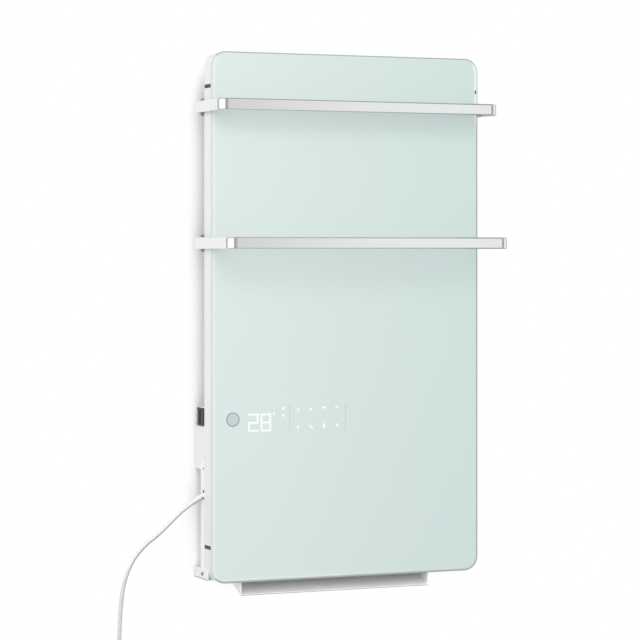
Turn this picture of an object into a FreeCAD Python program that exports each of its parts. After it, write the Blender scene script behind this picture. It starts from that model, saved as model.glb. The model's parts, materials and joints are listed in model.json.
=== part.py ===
import FreeCAD, Part
import math
import os

Vector = FreeCAD.Vector

# Glass panel heater with two towel rails and a fan heater at its foot.
# Millimetres. The wall is the plane Y = 0 and the heater stands in front of it, towards -Y.
# X runs to the viewer's right and Z up. The origin is the middle of the wall plate's screw holes.
# A depth is measured from the wall towards the viewer, so a point at depth d has Y = -d.
# A rise is measured up from the middle of the glass as it is drawn here.

# Glass panel
panel_width = 500.0
panel_height = 900.0
glass_thickness = 5.0
glass_corner_radius = 25.0
glass_edge_chamfer = 1.2
gasket_thickness = 1.0
gasket_width = 10.0
gasket_margin = 2.5

# Housing behind the glass
wall_gap = 47.0
cover_depth = 8.0
frame_depth = 25.0
housing_inset = 1.5
housing_corner = 20.0
housing_wall = 1.5
cover_wall = 1.0
flange_width = 14.0
flange_thickness = 2.0
boss_radius = 4.0
boss_margin = 14.0
side_boss_margin = 10.0
upper_boss_below_top = 300.0
lower_boss_above_bottom = 390.0
side_slot_height = 6.5
upper_slot_below_top = 58.3
lower_slot_above_bottom = 59.7
side_slot_margin = 1.0

# Convection vents in the rear cover
vent_slot_width = 4.0
vent_slot_height = 30.0
vent_pitch = 12.0
vent_count = 29
upper_vent_below_top = 45.0
lower_vent_above_bottom = 355.0

# Wall plate and the hanger that hooks on it
wall_plate_below_top = 200.0
wall_plate_width = 240.0
wall_plate_thickness = 2.0
wall_plate_drop = 34.0
wall_web_rise = 30.0
wall_lip_top = 48.0
wall_lip_depth = 11.0
wall_hole_radius = 3.2
wall_hole_spacing_x = 200.0
wall_hole_spacing_z = 40.0
hanger_width = 210.0
hanger_thickness = 2.0
hanger_drop = 34.0
hanger_lip_depth = 7.0
hanger_lip_length = 14.0
hanger_screw_spacing_x = 180.0
hanger_screw_spacing_z = 40.0
backing_thickness = 2.5
backing_margin = 8.0

# Towel rails
rail_height = 19.5
rail_thickness = 6.0
rail_corner_radius = 16.0
rail_edge_radius = 2.6
rail_side_gap = 3.0
rail_wall_gap = 16.0
rail_foot_length = 54.0
upper_rail_reach = 66.3
upper_rail_below_top = 92.5
lower_rail_reach = 107.4
lower_rail_below_top = 324.4
standoff_width = 36.0
standoff_height = 30.0
standoff_ear_back = 26.0
standoff_ear_inset = 1.0
standoff_corner = 3.0
standoff_end_margin = 1.0
rail_screw_spacing = 18.0
cross_bar_height = 20.0
cross_bar_thickness = 3.0
cross_bar_margin = 20.0

# Fan box, the deeper lower part of the back
fan_box_depth = 18.0
fan_box_height = 210.0
fan_box_wall = 1.2
fan_box_corner = 4.0
fan_post_radius = 4.0
fan_post_side = 12.5
fan_post_low_side = 34.0
fan_post_top = 33.5
fan_post_middle_top = 13.5
fan_post_bottom = 12.5

# Tangential fan and its ceramic heater
outlet_middle_x = -16.0
fan_axis_ahead = 7.0
fan_axis_above_bottom = 58.5
rotor_radius = 16.0
rotor_length = 316.0
rotor_disc_thickness = 2.0
rotor_disc_count = 5
blade_count = 22
blade_thickness = 1.2
blade_width = 6.5
blade_tilt = 25.0
blade_tip_margin = 1.0
shaft_radius = 2.5
shaft_clearance = 0.05
rotor_end_gap = 2.0
scroll_gap = 4.0
scroll_sheet = 1.2
scroll_hole_clearance = 1.0
scroll_start_angle = 110.0
scroll_flange_height = 26.0
front_guide_ahead = 12.0
front_guide_height = 36.0
end_plate_thickness = 1.5
end_plate_top = 24.0
motor_radius = 19.0
motor_length = 40.0
motor_edge = 3.0
motor_shaft_depth = 24.0
bearing_radius = 7.0
bearing_length = 9.0
ptc_rise = 8.0
ptc_height = 16.0
ptc_frame_wall = 2.0
ptc_slot_width = 6.0
ptc_slot_count = 34
ptc_rib = 2.5
ptc_core_inset = 2.0
cutout_radius = 8.0
cutout_length = 7.0
cut_out_tab_length = 6.0
cut_out_tab_width = 3.0
cut_out_tab_thickness = 0.8
cut_out_tab_spacing = 9.0
fan_opening_margin = 3.0

# Room sensor on the inside of the fan box
sensor_beside_motor = 20.0
sensor_below_top = 60.0
sensor_holder_width = 14.0
sensor_holder_height = 8.0
sensor_holder_depth = 4.0
sensor_bead_radius = 2.5
sensor_bead_length = 16.0

# Air inlet in the back of the fan box
inlet_height = 80.0
inlet_side_margin = 10.0
inlet_above_bottom = 36.0
inlet_lip = 4.0
inlet_lip_thickness = 1.5
inlet_clearance = 0.3
inlet_slot_width = 4.5
inlet_slot_count = 34
inlet_row_gap = 6.0

# Outlet grille and the scoop that turns the air forwards
scoop_width = 352.0
scoop_back_margin = 2.0
scoop_front_back_of_glass = 14.0
scoop_back_drop = 7.2
scoop_lip_drop = 24.4
scoop_lip_thickness = 2.5
scoop_gusset = 2.0
scoop_hollow_back = 11.0
scoop_hollow_wall = 3.6
grille_thickness = 1.5
grille_slot_count = 32
grille_slot_width = 7.0
grille_slot_margin = 1.5

# Switch box on the left of the back
switch_box_depth = 44.5
switch_box_width = 58.5
switch_box_above_fan_box = 83.5
switch_box_lap = 21.5
switch_box_wall = 2.0
switch_post_radius = 3.5
switch_post_below_top = 40.5
switch_post_above_fan_box = 15.0
switch_post_side_gap = 2.5
switch_flange_corner = 2.0
switch_flange_depth = 30.0
switch_flange_height = 31.0
switch_flange_thickness = 2.0
switch_below_top = 15.5
switch_middle_depth = 31.5
switch_body_length = 20.0
switch_wall = 1.2
rocker_length = 21.0
rocker_height = 23.0
rocker_tilt = 9.5
rocker_end_clearance = 1.0
rocker_side_clearance = 0.5
rocker_crown = 4.6
rocker_valley = 2.6
rocker_foot = 3.0
rocker_foot_inset = 2.0
rocker_pivot_below_flange = 3.5
trunnion_radius = 1.5
trunnion_clearance = 0.05
trunnion_end_gap = 0.3

# Way for the inner lead from the fan box into the housing
lead_way_left = 12.0
lead_way_width = 28.0
lead_way_height = 20.0
lead_way_below_top = 50.0

# Heating element stack on the back of the glass
element_side_margin = 28.0
element_top_margin = 25.0
element_carrier_gap = 10.0
element_thickness = 2.0
element_corner = 10.0
insulation_margin = 4.0
reflector_thickness = 1.0
insulation_thickness = 8.0
limiter_radius = 8.0
limiter_length = 12.0
limiter_clearance = 2.0
limiter_below_middle = 85.0

# Controls behind the glass
carrier_left = 20.0
carrier_width = 232.0
carrier_height = 58.0
carrier_above_bottom = 276.0
carrier_depth = 8.0
carrier_wall = 2.0
control_board_thickness = 1.6
control_board_back = 2.0
digit_width = 46.0
digit_height = 34.0
digit_left = 85.0
digit_corner = 1.0
receiver_radius = 8.0
receiver_left = 38.6
touch_pad_width = 106.0
touch_pad_height = 47.0
touch_pad_left = 195.0
touch_pad_thickness = 2.0
touch_pad_corner = 2.0
touch_post_radius = 3.0

# Power electronics
power_board_width = 120.0
power_board_height = 70.0
power_board_thickness = 1.6
power_board_left = 100.0
power_board_above_bottom = 185.0
board_post_height = 3.5
board_post_radius = 3.0
board_post_margin = 6.0
transformer_left = 14.0
transformer_low = 34.0
transformer_width = 30.0
transformer_height = 24.0
transformer_depth = 14.0
winding_inset = 4.0
winding_overhang = 4.0
winding_depth = 11.0
relay_left = 56.0
relay_pitch = 26.0
relay_low = 38.0
relay_width = 18.0
relay_height = 22.0
relay_depth = 15.0
capacitor_left = 30.0
capacitor_low = 16.0
capacitor_radius = 7.0
capacitor_length = 14.0
terminal_width = 36.0
terminal_height = 30.0
terminal_depth = 17.0
terminal_side_gap = 3.0
terminal_foot_gap = 4.0
terminal_pitch = 11.0
terminal_count = 3
terminal_well_radius = 3.0
terminal_floor = 4.0

# Screws
small_screw_radius = 1.5
small_head_radius = 3.5
small_head_height = 2.2
small_screw_reach = 14.0
hanger_screw_reach = 6.0
box_screw_bite = 5.0
rail_screw_radius = 2.5
rail_head_radius = 4.5
rail_head_height = 2.8
screw_clearance = 0.15
overcut = 1.0

# Lower wall brackets
bracket_thickness = 1.5
bracket_height = 18.0
bracket_above_bottom = 2.0
bracket_front_depth = 68.0
bracket_foot_length = 24.0
bracket_foot_height = 12.0
bracket_foot_rise = 1.0
bracket_foot_corner = 3.0
bracket_screw_length = 9.0
bracket_corner = 8.0
bracket_screw_depth = 42.0
bracket_hole_radius = 3.0
bracket_hole_margin = 12.0

# Mains lead
cord_radius = 3.5
gland_depth = 38.0
gland_above_bottom = 143.5
gland_flange_radius = 7.0
gland_flange_thickness = 2.0
gland_inner_length = 9.0
gland_inner_radius = 5.0
sleeve_length = 22.0
sleeve_root_radius = 5.6
sleeve_tip_radius = 4.3
cord_first_run = 18.0
sleeve_fall = 32.0
coil_mean_radius = 42.0
coil_pitch = 7.6
coil_layer_pitch = 7.8
coil_turns = 4
coil_lead_in = 8.0
coil_lead_out = 30.0
coil_middle_rise = -606.0
tie_width = 10.0
tie_thickness = 1.2
tie_clearance = 0.8
plug_relief_length = 26.0
plug_relief_radius = 8.0
plug_relief_tip = 4.6
plug_shoulder_length = 14.0
plug_radius = 18.5
plug_length = 22.0
plug_edge = 1.5
plug_shoulder_radius = 14.4
plug_shoulder_drop = 6.3
pin_radius = 2.4
pin_length = 19.0
pin_spacing = 19.0
pin_tip = 1.2

# Places that follow from the sizes above
panel_top = wall_plate_below_top
panel_bottom = panel_top - panel_height
middle_z = (panel_top + panel_bottom) / 2
upper_rail_z = panel_top - upper_rail_below_top
lower_rail_z = panel_top - lower_rail_below_top
carrier_z = panel_bottom + carrier_above_bottom
element_top = panel_top - element_top_margin
element_bottom = carrier_z + carrier_height / 2 + element_carrier_gap
element_z = (element_top + element_bottom) / 2
cover_front = wall_gap + cover_depth
frame_front = cover_front + frame_depth
glass_back = frame_front + gasket_thickness
glass_front = glass_back + glass_thickness
half_width = panel_width / 2 - housing_inset
half_height = panel_height / 2 - housing_inset
bottom_z = middle_z - half_height
cover_inside = wall_gap + cover_wall
flange_back = frame_front - flange_thickness
rail_half = panel_width / 2 + rail_side_gap + rail_thickness
rail_foot_front = rail_wall_gap + rail_thickness
fan_box_back = wall_gap - fan_box_depth
fan_box_top = bottom_z + fan_box_height
switch_box_back = wall_gap - switch_box_depth
switch_top = fan_box_top + switch_box_above_fan_box
switch_bottom = fan_box_top - switch_box_lap
switch_z = switch_top - switch_below_top
fan_depth = wall_gap + fan_axis_ahead
fan_z = bottom_z + fan_axis_above_bottom
rotor_left = outlet_middle_x - rotor_length / 2
rotor_right = outlet_middle_x + rotor_length / 2
duct_left = rotor_left - rotor_end_gap
duct_right = rotor_right + rotor_end_gap
back_guide_depth = fan_depth - rotor_radius - scroll_gap
front_guide_depth = fan_depth + front_guide_ahead
scoop_left = outlet_middle_x - scoop_width / 2
scoop_right = outlet_middle_x + scoop_width / 2
scoop_back = fan_box_back + scoop_back_margin
scoop_front = glass_front - scoop_front_back_of_glass
panel_left = -panel_width / 2
small_hole_radius = small_screw_radius + screw_clearance
rail_hole_radius = rail_screw_radius + screw_clearance


def block(x0, x1, d0, d1, z0, z1):
    return Part.makeBox(x1 - x0, d1 - d0, z1 - z0, Vector(x0, -d1, z0))


def rod_y(x, z, d0, d1, radius):
    return Part.makeCylinder(radius, d1 - d0, Vector(x, -d1, z), Vector(0, 1, 0))


def rod_x(d, z, x0, x1, radius):
    return Part.makeCylinder(radius, x1 - x0, Vector(x0, -d, z), Vector(1, 0, 0))


def rod_z(x, d, z0, z1, radius):
    return Part.makeCylinder(radius, z1 - z0, Vector(x, -d, z0), Vector(0, 0, 1))


def rounded_wire(half_u, half_v, radius, place):
    """A rounded rectangle about (0, 0); place turns its two coordinates into a point."""
    arc_middle = radius * (1 - math.sqrt(0.5))
    edges = []
    quarter = ((1, 1), (-1, 1), (-1, -1), (1, -1))
    for index, (su, sv) in enumerate(quarter):
        along_v = place(su * half_u, sv * (half_v - radius))
        along_u = place(su * (half_u - radius), sv * half_v)
        middle = place(su * (half_u - arc_middle), sv * (half_v - arc_middle))
        first, last = (along_v, along_u) if index % 2 == 0 else (along_u, along_v)
        next_u, next_v = quarter[(index + 1) % 4]
        if index % 2 == 0:
            following = place(next_u * (half_u - radius), next_v * half_v)
        else:
            following = place(next_u * half_u, next_v * (half_v - radius))
        edges.append(Part.Arc(first, middle, last).toShape())
        edges.append(Part.LineSegment(last, following).toShape())
    return Part.Wire(edges)


def upright_plate(half_u, half_v, radius, d0, d1, x=0.0, z=middle_z):
    """A plate parallel to the wall with rounded corners."""
    wire = rounded_wire(half_u, half_v, radius, lambda u, v: Vector(x + u, -d1, z + v))
    return Part.Face(wire).extrude(Vector(0, d1 - d0, 0))


def level_plate(x0, x1, d0, d1, radius, z0, z1):
    """A horizontal plate with rounded corners."""
    x, d = (x0 + x1) / 2, (d0 + d1) / 2
    wire = rounded_wire((x1 - x0) / 2, (d1 - d0) / 2, radius, lambda u, v: Vector(x + u, -d - v, z0))
    return Part.Face(wire).extrude(Vector(0, 0, z1 - z0))


def section_x(points, x0, x1):
    """A closed outline of (depth, z) points, drawn out along X."""
    corners = [Vector(x0, -d, z) for d, z in points]
    return Part.Face(Part.makePolygon(corners + corners[:1])).extrude(Vector(x1 - x0, 0, 0))


def cut_all(shape, tools):
    return shape.cut(Part.makeCompound(tools))


def fuse_all(shapes):
    return shapes[0].fuse(shapes[1:]).removeSplitter()


def mirrored(shape):
    return shape.mirror(Vector(0, 0, 0), Vector(1, 0, 0))


def spread(middle, pitch, count):
    return [middle + (index - (count - 1) / 2) * pitch for index in range(count)]


def screw_y(x, z, face, reach, radius, head_radius, head_height):
    """A pan head seated on the face at that depth, its shank reaching towards the viewer."""
    head = rod_y(x, z, face - head_height, face, head_radius)
    rim = [edge for edge in head.Edges if abs(edge.CenterOfMass.y + face - head_height) < 1e-6]
    head = head.makeFillet(head_height * 0.5, rim[:1])
    return head.fuse(rod_y(x, z, face, face + reach, radius)).removeSplitter()


def save(name, shape):
    if shape.ShapeType == "Compound" and len(shape.Solids) == 1:
        shape = shape.Solids[0]
    if not shape.isValid():
        print("not valid:", name)
    shape.exportStep("parts/" + name + ".step")


def cover_screw_places():
    corner_x = half_width - boss_margin
    corner_z = half_height - boss_margin
    places = [(sx * corner_x, middle_z + sz * corner_z) for sx in (-1, 1) for sz in (-1, 1)]
    side_x = half_width - side_boss_margin
    side_z = (panel_top - upper_boss_below_top, panel_bottom + lower_boss_above_bottom)
    places += [(sx * side_x, z) for sx in (-1, 1) for z in side_z]
    return places + [(0.0, middle_z + corner_z)]


def fan_box_screw_places():
    side = half_width - fan_post_side
    low = half_width - fan_post_low_side
    places = [(sx * side, fan_box_top - fan_post_top) for sx in (-1, 1)]
    places += [(sx * low, bottom_z + fan_post_bottom) for sx in (-1, 1)]
    return places + [(0.0, fan_box_top - fan_post_middle_top)]


def switch_box_screw_places():
    inner_x = -half_width + switch_box_width - switch_box_wall - switch_post_radius - switch_post_side_gap
    outer_x = -half_width + switch_box_wall + switch_post_radius + switch_post_side_gap
    return [(inner_x, switch_top - switch_post_below_top), (outer_x, fan_box_top + switch_post_above_fan_box)]


def rail_levels():
    return (upper_rail_z, lower_rail_z)


def standoff_middle_x():
    return rail_half - rail_corner_radius - standoff_end_margin - standoff_width / 2


def rail_screw_places(z):
    middle = standoff_middle_x()
    columns = [middle - rail_screw_spacing / 2, middle + rail_screw_spacing / 2]
    return [(sx * x, z) for sx in (-1, 1) for x in columns]


def hanger_screw_places():
    half_x = hanger_screw_spacing_x / 2
    half_z = hanger_screw_spacing_z / 2
    return [(sx * half_x, sz * half_z) for sx in (-1, 1) for sz in (-1, 1)]


# Front: glass, gasket, frame
def glass_front_plate():
    plate = upright_plate(panel_width / 2, panel_height / 2, glass_corner_radius, glass_back, glass_front)
    rims = [edge for edge in plate.Edges if abs(edge.CenterOfMass.y + glass_front) < 1e-6]
    return plate.makeChamfer(glass_edge_chamfer, rims)


def glass_gasket():
    half_u, half_v = half_width - gasket_margin, half_height - gasket_margin
    radius = housing_corner - gasket_margin
    outer = upright_plate(half_u, half_v, radius, frame_front, glass_back)
    inner = upright_plate(half_u - gasket_width, half_v - gasket_width, radius - gasket_width,
                          frame_front, glass_back)
    return outer.cut(inner)


def side_slots():
    slots = []
    for z in (panel_top - upper_slot_below_top, panel_bottom + lower_slot_above_bottom):
        for side in (-1, 1):
            x = side * half_width
            slots.append(block(x - housing_wall, x + housing_wall, wall_gap + side_slot_margin, flange_back,
                               z - side_slot_height / 2, z + side_slot_height / 2))
    return slots


def outlet_hole():
    """The air way down through the bottom walls."""
    return block(duct_left, duct_right, back_guide_depth, front_guide_depth, bottom_z - overcut,
                 bottom_z + fan_axis_above_bottom - rotor_radius)


def front_frame():
    outer = upright_plate(half_width, half_height, housing_corner, cover_front, frame_front)
    inner = upright_plate(half_width - housing_wall, half_height - housing_wall,
                          housing_corner - housing_wall, cover_front, flange_back)
    window = upright_plate(half_width - flange_width, half_height - flange_width,
                           housing_corner - flange_width, cover_front, frame_front)
    frame = outer.cut(inner).cut(window)
    bosses = [rod_y(x, z, cover_inside, flange_back + flange_thickness / 2, boss_radius)
              for x, z in cover_screw_places()]
    frame = fuse_all([frame] + bosses)
    holes = [rod_y(x, z, cover_inside, flange_back, small_hole_radius) for x, z in cover_screw_places()]
    return cut_all(frame, holes + side_slots() + [outlet_hole()])


# Back: rear cover, vents, braces
def fan_opening():
    """The way through the back wall that the fan, its bearing, cut-out and motor stand in."""
    left_reach = max(bearing_length, cutout_length + cut_out_tab_length) + fan_opening_margin
    right_reach = motor_length + fan_opening_margin
    return block(duct_left - end_plate_thickness - left_reach, duct_right + end_plate_thickness + right_reach,
                 wall_gap - overcut, cover_inside + overcut, bottom_z + housing_wall,
                 fan_z + end_plate_top + fan_opening_margin)


def rear_cover():
    outer = upright_plate(half_width, half_height, housing_corner, wall_gap, cover_front)
    inner = upright_plate(half_width - housing_wall, half_height - housing_wall,
                          housing_corner - housing_wall, cover_inside, cover_front)
    cover = outer.cut(inner)
    tools = [rod_y(x, z, wall_gap - overcut, cover_inside + overcut, small_hole_radius)
             for x, z in cover_screw_places() + fan_box_screw_places() + switch_box_screw_places()
             + hanger_screw_places()]
    for level in rail_levels():
        tools += [rod_y(x, z, wall_gap - overcut, cover_inside + overcut, rail_hole_radius)
                  for x, z in rail_screw_places(level)]
    for z in (panel_top - upper_vent_below_top, panel_bottom + lower_vent_above_bottom):
        tools += [upright_plate(vent_slot_width / 2, vent_slot_height / 2, vent_slot_width / 2 - 0.01,
                                wall_gap - overcut, cover_inside + overcut, x, z)
                  for x in spread(0.0, vent_pitch, vent_count)]
    tools.append(fan_opening())
    lead_z = fan_box_top - lead_way_below_top
    lead_x = -half_width + lead_way_left
    lead_way = block(lead_x, lead_x + lead_way_width, wall_gap - overcut, cover_inside + overcut,
                     lead_z - lead_way_height / 2, lead_z + lead_way_height / 2)
    return cut_all(cover, tools + side_slots() + [outlet_hole(), lead_way])


def cross_bar(z):
    half = half_width - cross_bar_margin
    bar = block(-half, half, cover_inside, cover_inside + cross_bar_thickness,
                z - cross_bar_height / 2, z + cross_bar_height / 2)
    return cut_all(bar, [rod_y(x, hole_z, cover_inside - overcut, cover_inside + cross_bar_thickness + overcut,
                               rail_hole_radius) for x, hole_z in rail_screw_places(z)])


def hanger_backing():
    half_x = hanger_screw_spacing_x / 2 + backing_margin
    half_z = hanger_screw_spacing_z / 2 + backing_margin
    plate = block(-half_x, half_x, cover_inside, cover_inside + backing_thickness, -half_z, half_z)
    return cut_all(plate, [rod_y(x, z, cover_inside - overcut, cover_inside + backing_thickness + overcut,
                                 small_hole_radius) for x, z in hanger_screw_places()])


# Wall plate, hanger
def wall_plate():
    half = wall_plate_width / 2
    plate = block(-half, half, 0.0, wall_plate_thickness, -wall_plate_drop, wall_web_rise)
    web = block(-half, half, 0.0, wall_lip_depth, wall_web_rise - wall_plate_thickness, wall_web_rise)
    lip = block(-half, half, wall_lip_depth - wall_plate_thickness, wall_lip_depth,
                wall_web_rise - wall_plate_thickness, wall_lip_top)
    shape = fuse_all([plate, web, lip])
    half_x = wall_hole_spacing_x / 2
    half_z = wall_hole_spacing_z / 2
    holes = [rod_y(sx * half_x, sz * half_z, -overcut, wall_plate_thickness + overcut, wall_hole_radius)
             for sx in (-1, 1) for sz in (-1, 1)]
    return cut_all(shape, holes)


def hanger():
    half = hanger_width / 2
    top = wall_lip_top + hanger_thickness
    base = block(-half, half, wall_gap - hanger_thickness, wall_gap, -hanger_drop, top)
    web = block(-half, half, hanger_lip_depth - hanger_thickness, wall_gap, wall_lip_top, top)
    lip = block(-half, half, hanger_lip_depth - hanger_thickness, hanger_lip_depth,
                top - hanger_lip_length, top)
    shape = fuse_all([base, web, lip])
    return cut_all(shape, [rod_y(x, z, wall_gap - hanger_thickness - overcut, wall_gap + overcut,
                                 small_hole_radius) for x, z in hanger_screw_places()])


# Towel rails and what holds them
def towel_rail(z, reach):
    """A flat bar bent to a U round the panel, its feet turned in behind: a front run and two ends."""
    front = glass_front + reach
    z0 = z - rail_height / 2
    z1 = z + rail_height / 2
    outer = level_plate(-rail_half, rail_half, rail_wall_gap, front, rail_corner_radius, z0, z1)
    inner = level_plate(-rail_half + rail_thickness, rail_half - rail_thickness, rail_foot_front,
                        front - rail_thickness, rail_corner_radius - rail_thickness, z0, z1)
    mouth_half = rail_half - rail_foot_length
    mouth = block(-mouth_half, mouth_half, rail_wall_gap - overcut, rail_foot_front + overcut, z0, z1)
    bar = outer.cut(inner).cut(mouth)
    long_edges = [edge for edge in bar.Edges
                  if abs(edge.BoundBox.ZLength) < 1e-6 and edge.Length > rail_thickness + 1e-3]
    bar = bar.makeFillet(rail_edge_radius, long_edges)
    bar = cut_all(bar, [rod_y(x, hole_z, rail_wall_gap - overcut, rail_foot_front + overcut, rail_hole_radius)
                        for x, hole_z in rail_screw_places(z)])
    straight = rail_half - rail_corner_radius
    front_run = block(-straight, straight, front - rail_thickness - overcut, front + overcut,
                      z0 - overcut, z1 + overcut)
    return Part.makeCompound(bar.common(front_run).Solids + bar.cut(front_run).Solids)


def rail_standoffs(z):
    solids = []
    for side in (-1, 1):
        inner = standoff_middle_x()
        outer = half_width - standoff_ear_inset
        seat = upright_plate(standoff_width / 2, standoff_height / 2, standoff_corner, rail_foot_front,
                             wall_gap, side * inner, z)
        ear = upright_plate((outer - inner) / 2, standoff_height / 2, standoff_corner, standoff_ear_back,
                            wall_gap, side * (outer + inner) / 2, z)
        solid = seat.fuse(ear).removeSplitter()
        holes = [rod_y(x, hole_z, rail_foot_front - overcut, wall_gap + overcut, rail_hole_radius)
                 for x, hole_z in rail_screw_places(z) if x * side > 0]
        solids.append(cut_all(solid, holes))
    return Part.makeCompound(solids)


def rail_screws():
    reach = cover_inside + cross_bar_thickness - rail_wall_gap
    return Part.makeCompound([screw_y(x, z, rail_wall_gap, reach, rail_screw_radius, rail_head_radius,
                                      rail_head_height)
                              for level in rail_levels() for x, z in rail_screw_places(level)])


def small_screws(places, face, reach=small_screw_reach):
    return Part.makeCompound([screw_y(x, z, face, reach, small_screw_radius, small_head_radius,
                                      small_head_height) for x, z in places])


# Fan box, grilles, scoop
def inlet_window(grow, d0, d1):
    return block(duct_left - inlet_side_margin - grow, duct_right + inlet_side_margin + grow, d0, d1,
                 bottom_z + inlet_above_bottom - grow, bottom_z + inlet_above_bottom + inlet_height + grow)


def gland_point():
    return Vector(-half_width, -gland_depth, bottom_z + gland_above_bottom)


def fan_box():
    outer = upright_plate(half_width, fan_box_height / 2, fan_box_corner, fan_box_back, wall_gap,
                          0.0, bottom_z + fan_box_height / 2)
    inner = upright_plate(half_width - fan_box_wall, fan_box_height / 2 - fan_box_wall,
                          fan_box_corner - fan_box_wall, fan_box_back + fan_box_wall, wall_gap,
                          0.0, bottom_z + fan_box_height / 2)
    box = outer.cut(inner)
    posts = [rod_y(x, z, fan_box_back + fan_box_wall / 2, wall_gap, fan_post_radius)
             for x, z in fan_box_screw_places()]
    box = fuse_all([box] + posts)
    gland = gland_point()
    tools = [rod_y(x, z, fan_box_back - overcut, wall_gap, small_hole_radius)
             for x, z in fan_box_screw_places()]
    tools.append(inlet_window(0.0, fan_box_back - overcut, fan_box_back + fan_box_wall + overcut))
    tools.append(outlet_hole())
    tools.append(rod_x(gland_depth, gland.z, -half_width - overcut, -half_width + fan_box_wall + overcut,
                       gland_inner_radius))
    z = bracket_screw_z()
    for side in (-1, 1):
        x0, x1 = sorted((side * (half_width - fan_box_wall - overcut), side * (half_width + overcut)))
        tools.append(rod_x(bracket_screw_depth, z, x0, x1, small_hole_radius))
    return cut_all(box, tools)


def inlet_grille():
    body = inlet_window(-inlet_clearance, fan_box_back, fan_box_back + fan_box_wall)
    lip = inlet_window(inlet_lip, fan_box_back + fan_box_wall,
                       fan_box_back + fan_box_wall + inlet_lip_thickness)
    plate = body.fuse(lip).removeSplitter()
    pitch = (duct_right - duct_left) / inlet_slot_count
    low = bottom_z + inlet_above_bottom
    middle = low + inlet_height / 2
    rows = ((low + inlet_lip, middle - inlet_row_gap / 2),
            (middle + inlet_row_gap / 2, low + inlet_height - inlet_lip))
    slots = [block(x - inlet_slot_width / 2, x + inlet_slot_width / 2, fan_box_back - overcut,
                   fan_box_back + fan_box_wall + inlet_lip_thickness + overcut, z0, z1)
             for z0, z1 in rows for x in spread(outlet_middle_x, pitch, inlet_slot_count)]
    return cut_all(plate, slots)


def outlet_grille():
    plate = block(scoop_left, scoop_right, scoop_back, scoop_front, bottom_z - grille_thickness, bottom_z)
    pitch = (duct_right - duct_left) / grille_slot_count
    slots = [block(x - grille_slot_width / 2, x + grille_slot_width / 2,
                   back_guide_depth + grille_slot_margin, front_guide_depth - grille_slot_margin,
                   bottom_z - grille_thickness - overcut, bottom_z + overcut)
             for x in spread(outlet_middle_x, pitch, grille_slot_count)]
    return cut_all(plate, slots)


def outlet_scoop():
    """A hollow-curved sheet between two end gussets, which turns the air towards the room."""
    top = bottom_z - grille_thickness
    low_back = top - scoop_back_drop
    low_front = top - scoop_lip_drop
    run = scoop_front - scoop_back
    inner_back = scoop_back + scoop_gusset
    hollow_depth = inner_back + scoop_hollow_back
    underside = low_back + (low_front - low_back) * (hollow_depth - scoop_back) / run
    hollow_z = underside + scoop_hollow_wall
    corners = [Vector(0, -d, z) for d, z in ((inner_back, top), (scoop_back, top), (scoop_back, low_back),
                                             (scoop_front, low_front),
                                             (scoop_front, low_front + scoop_lip_thickness))]
    edges = [Part.LineSegment(a, b).toShape() for a, b in zip(corners, corners[1:])]
    edges.append(Part.Arc(corners[4], Vector(0, -hollow_depth, hollow_z), corners[0]).toShape())
    sheet = Part.Face(Part.Wire(edges))
    sheet.translate(Vector(scoop_left, 0, 0))
    sheet = sheet.extrude(Vector(scoop_width, 0, 0))
    outline = ((scoop_back, top), (scoop_back, low_back), (scoop_front, low_front), (scoop_front, top))
    left = section_x(outline, scoop_left, scoop_left + scoop_gusset)
    right = section_x(outline, scoop_right - scoop_gusset, scoop_right)
    return fuse_all([sheet, left, right])


# Tangential fan
def fan_rotor():
    discs = [rod_x(fan_depth, fan_z, x - rotor_disc_thickness / 2, x + rotor_disc_thickness / 2, rotor_radius)
             for x in spread(outlet_middle_x, (rotor_length - rotor_disc_thickness) / (rotor_disc_count - 1),
                             rotor_disc_count)]
    blades = []
    centre = Vector(0, -fan_depth, fan_z)
    for index in range(blade_count):
        blade = block(rotor_left, rotor_right, fan_depth - blade_thickness / 2, fan_depth + blade_thickness / 2,
                      fan_z - blade_width / 2, fan_z + blade_width / 2)
        blade.rotate(centre, Vector(1, 0, 0), blade_tilt)
        blade.translate(Vector(0, 0, rotor_radius - blade_tip_margin - blade_width / 2))
        blade.rotate(centre, Vector(1, 0, 0), 360.0 / blade_count * index)
        blades.append(blade)
    rotor = discs[0].fuse(discs[1:] + blades)
    return rotor.cut(rod_x(fan_depth, fan_z, rotor_left - overcut, rotor_right + overcut, shaft_radius))


def bearing_left():
    return duct_left - end_plate_thickness - bearing_length


def fan_shaft():
    return rod_x(fan_depth, fan_z, bearing_left(), duct_right + end_plate_thickness + motor_shaft_depth,
                 shaft_radius)


def shaft_hole(x0, x1):
    return rod_x(fan_depth, fan_z, x0, x1, shaft_radius + shaft_clearance)


def fan_bearing():
    end = duct_left - end_plate_thickness
    bush = rod_x(fan_depth, fan_z, bearing_left(), end, bearing_radius)
    return bush.cut(shaft_hole(bearing_left() - overcut, end + overcut))


def fan_motor():
    start = duct_right + end_plate_thickness
    body = rod_x(fan_depth, fan_z, start, start + motor_length, motor_radius)
    rim = [edge for edge in body.Edges if abs(edge.CenterOfMass.x - start - motor_length) < 1e-6]
    body = body.makeFillet(motor_edge, rim[:1])
    return body.cut(shaft_hole(start - overcut, start + motor_shaft_depth + overcut))


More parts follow.
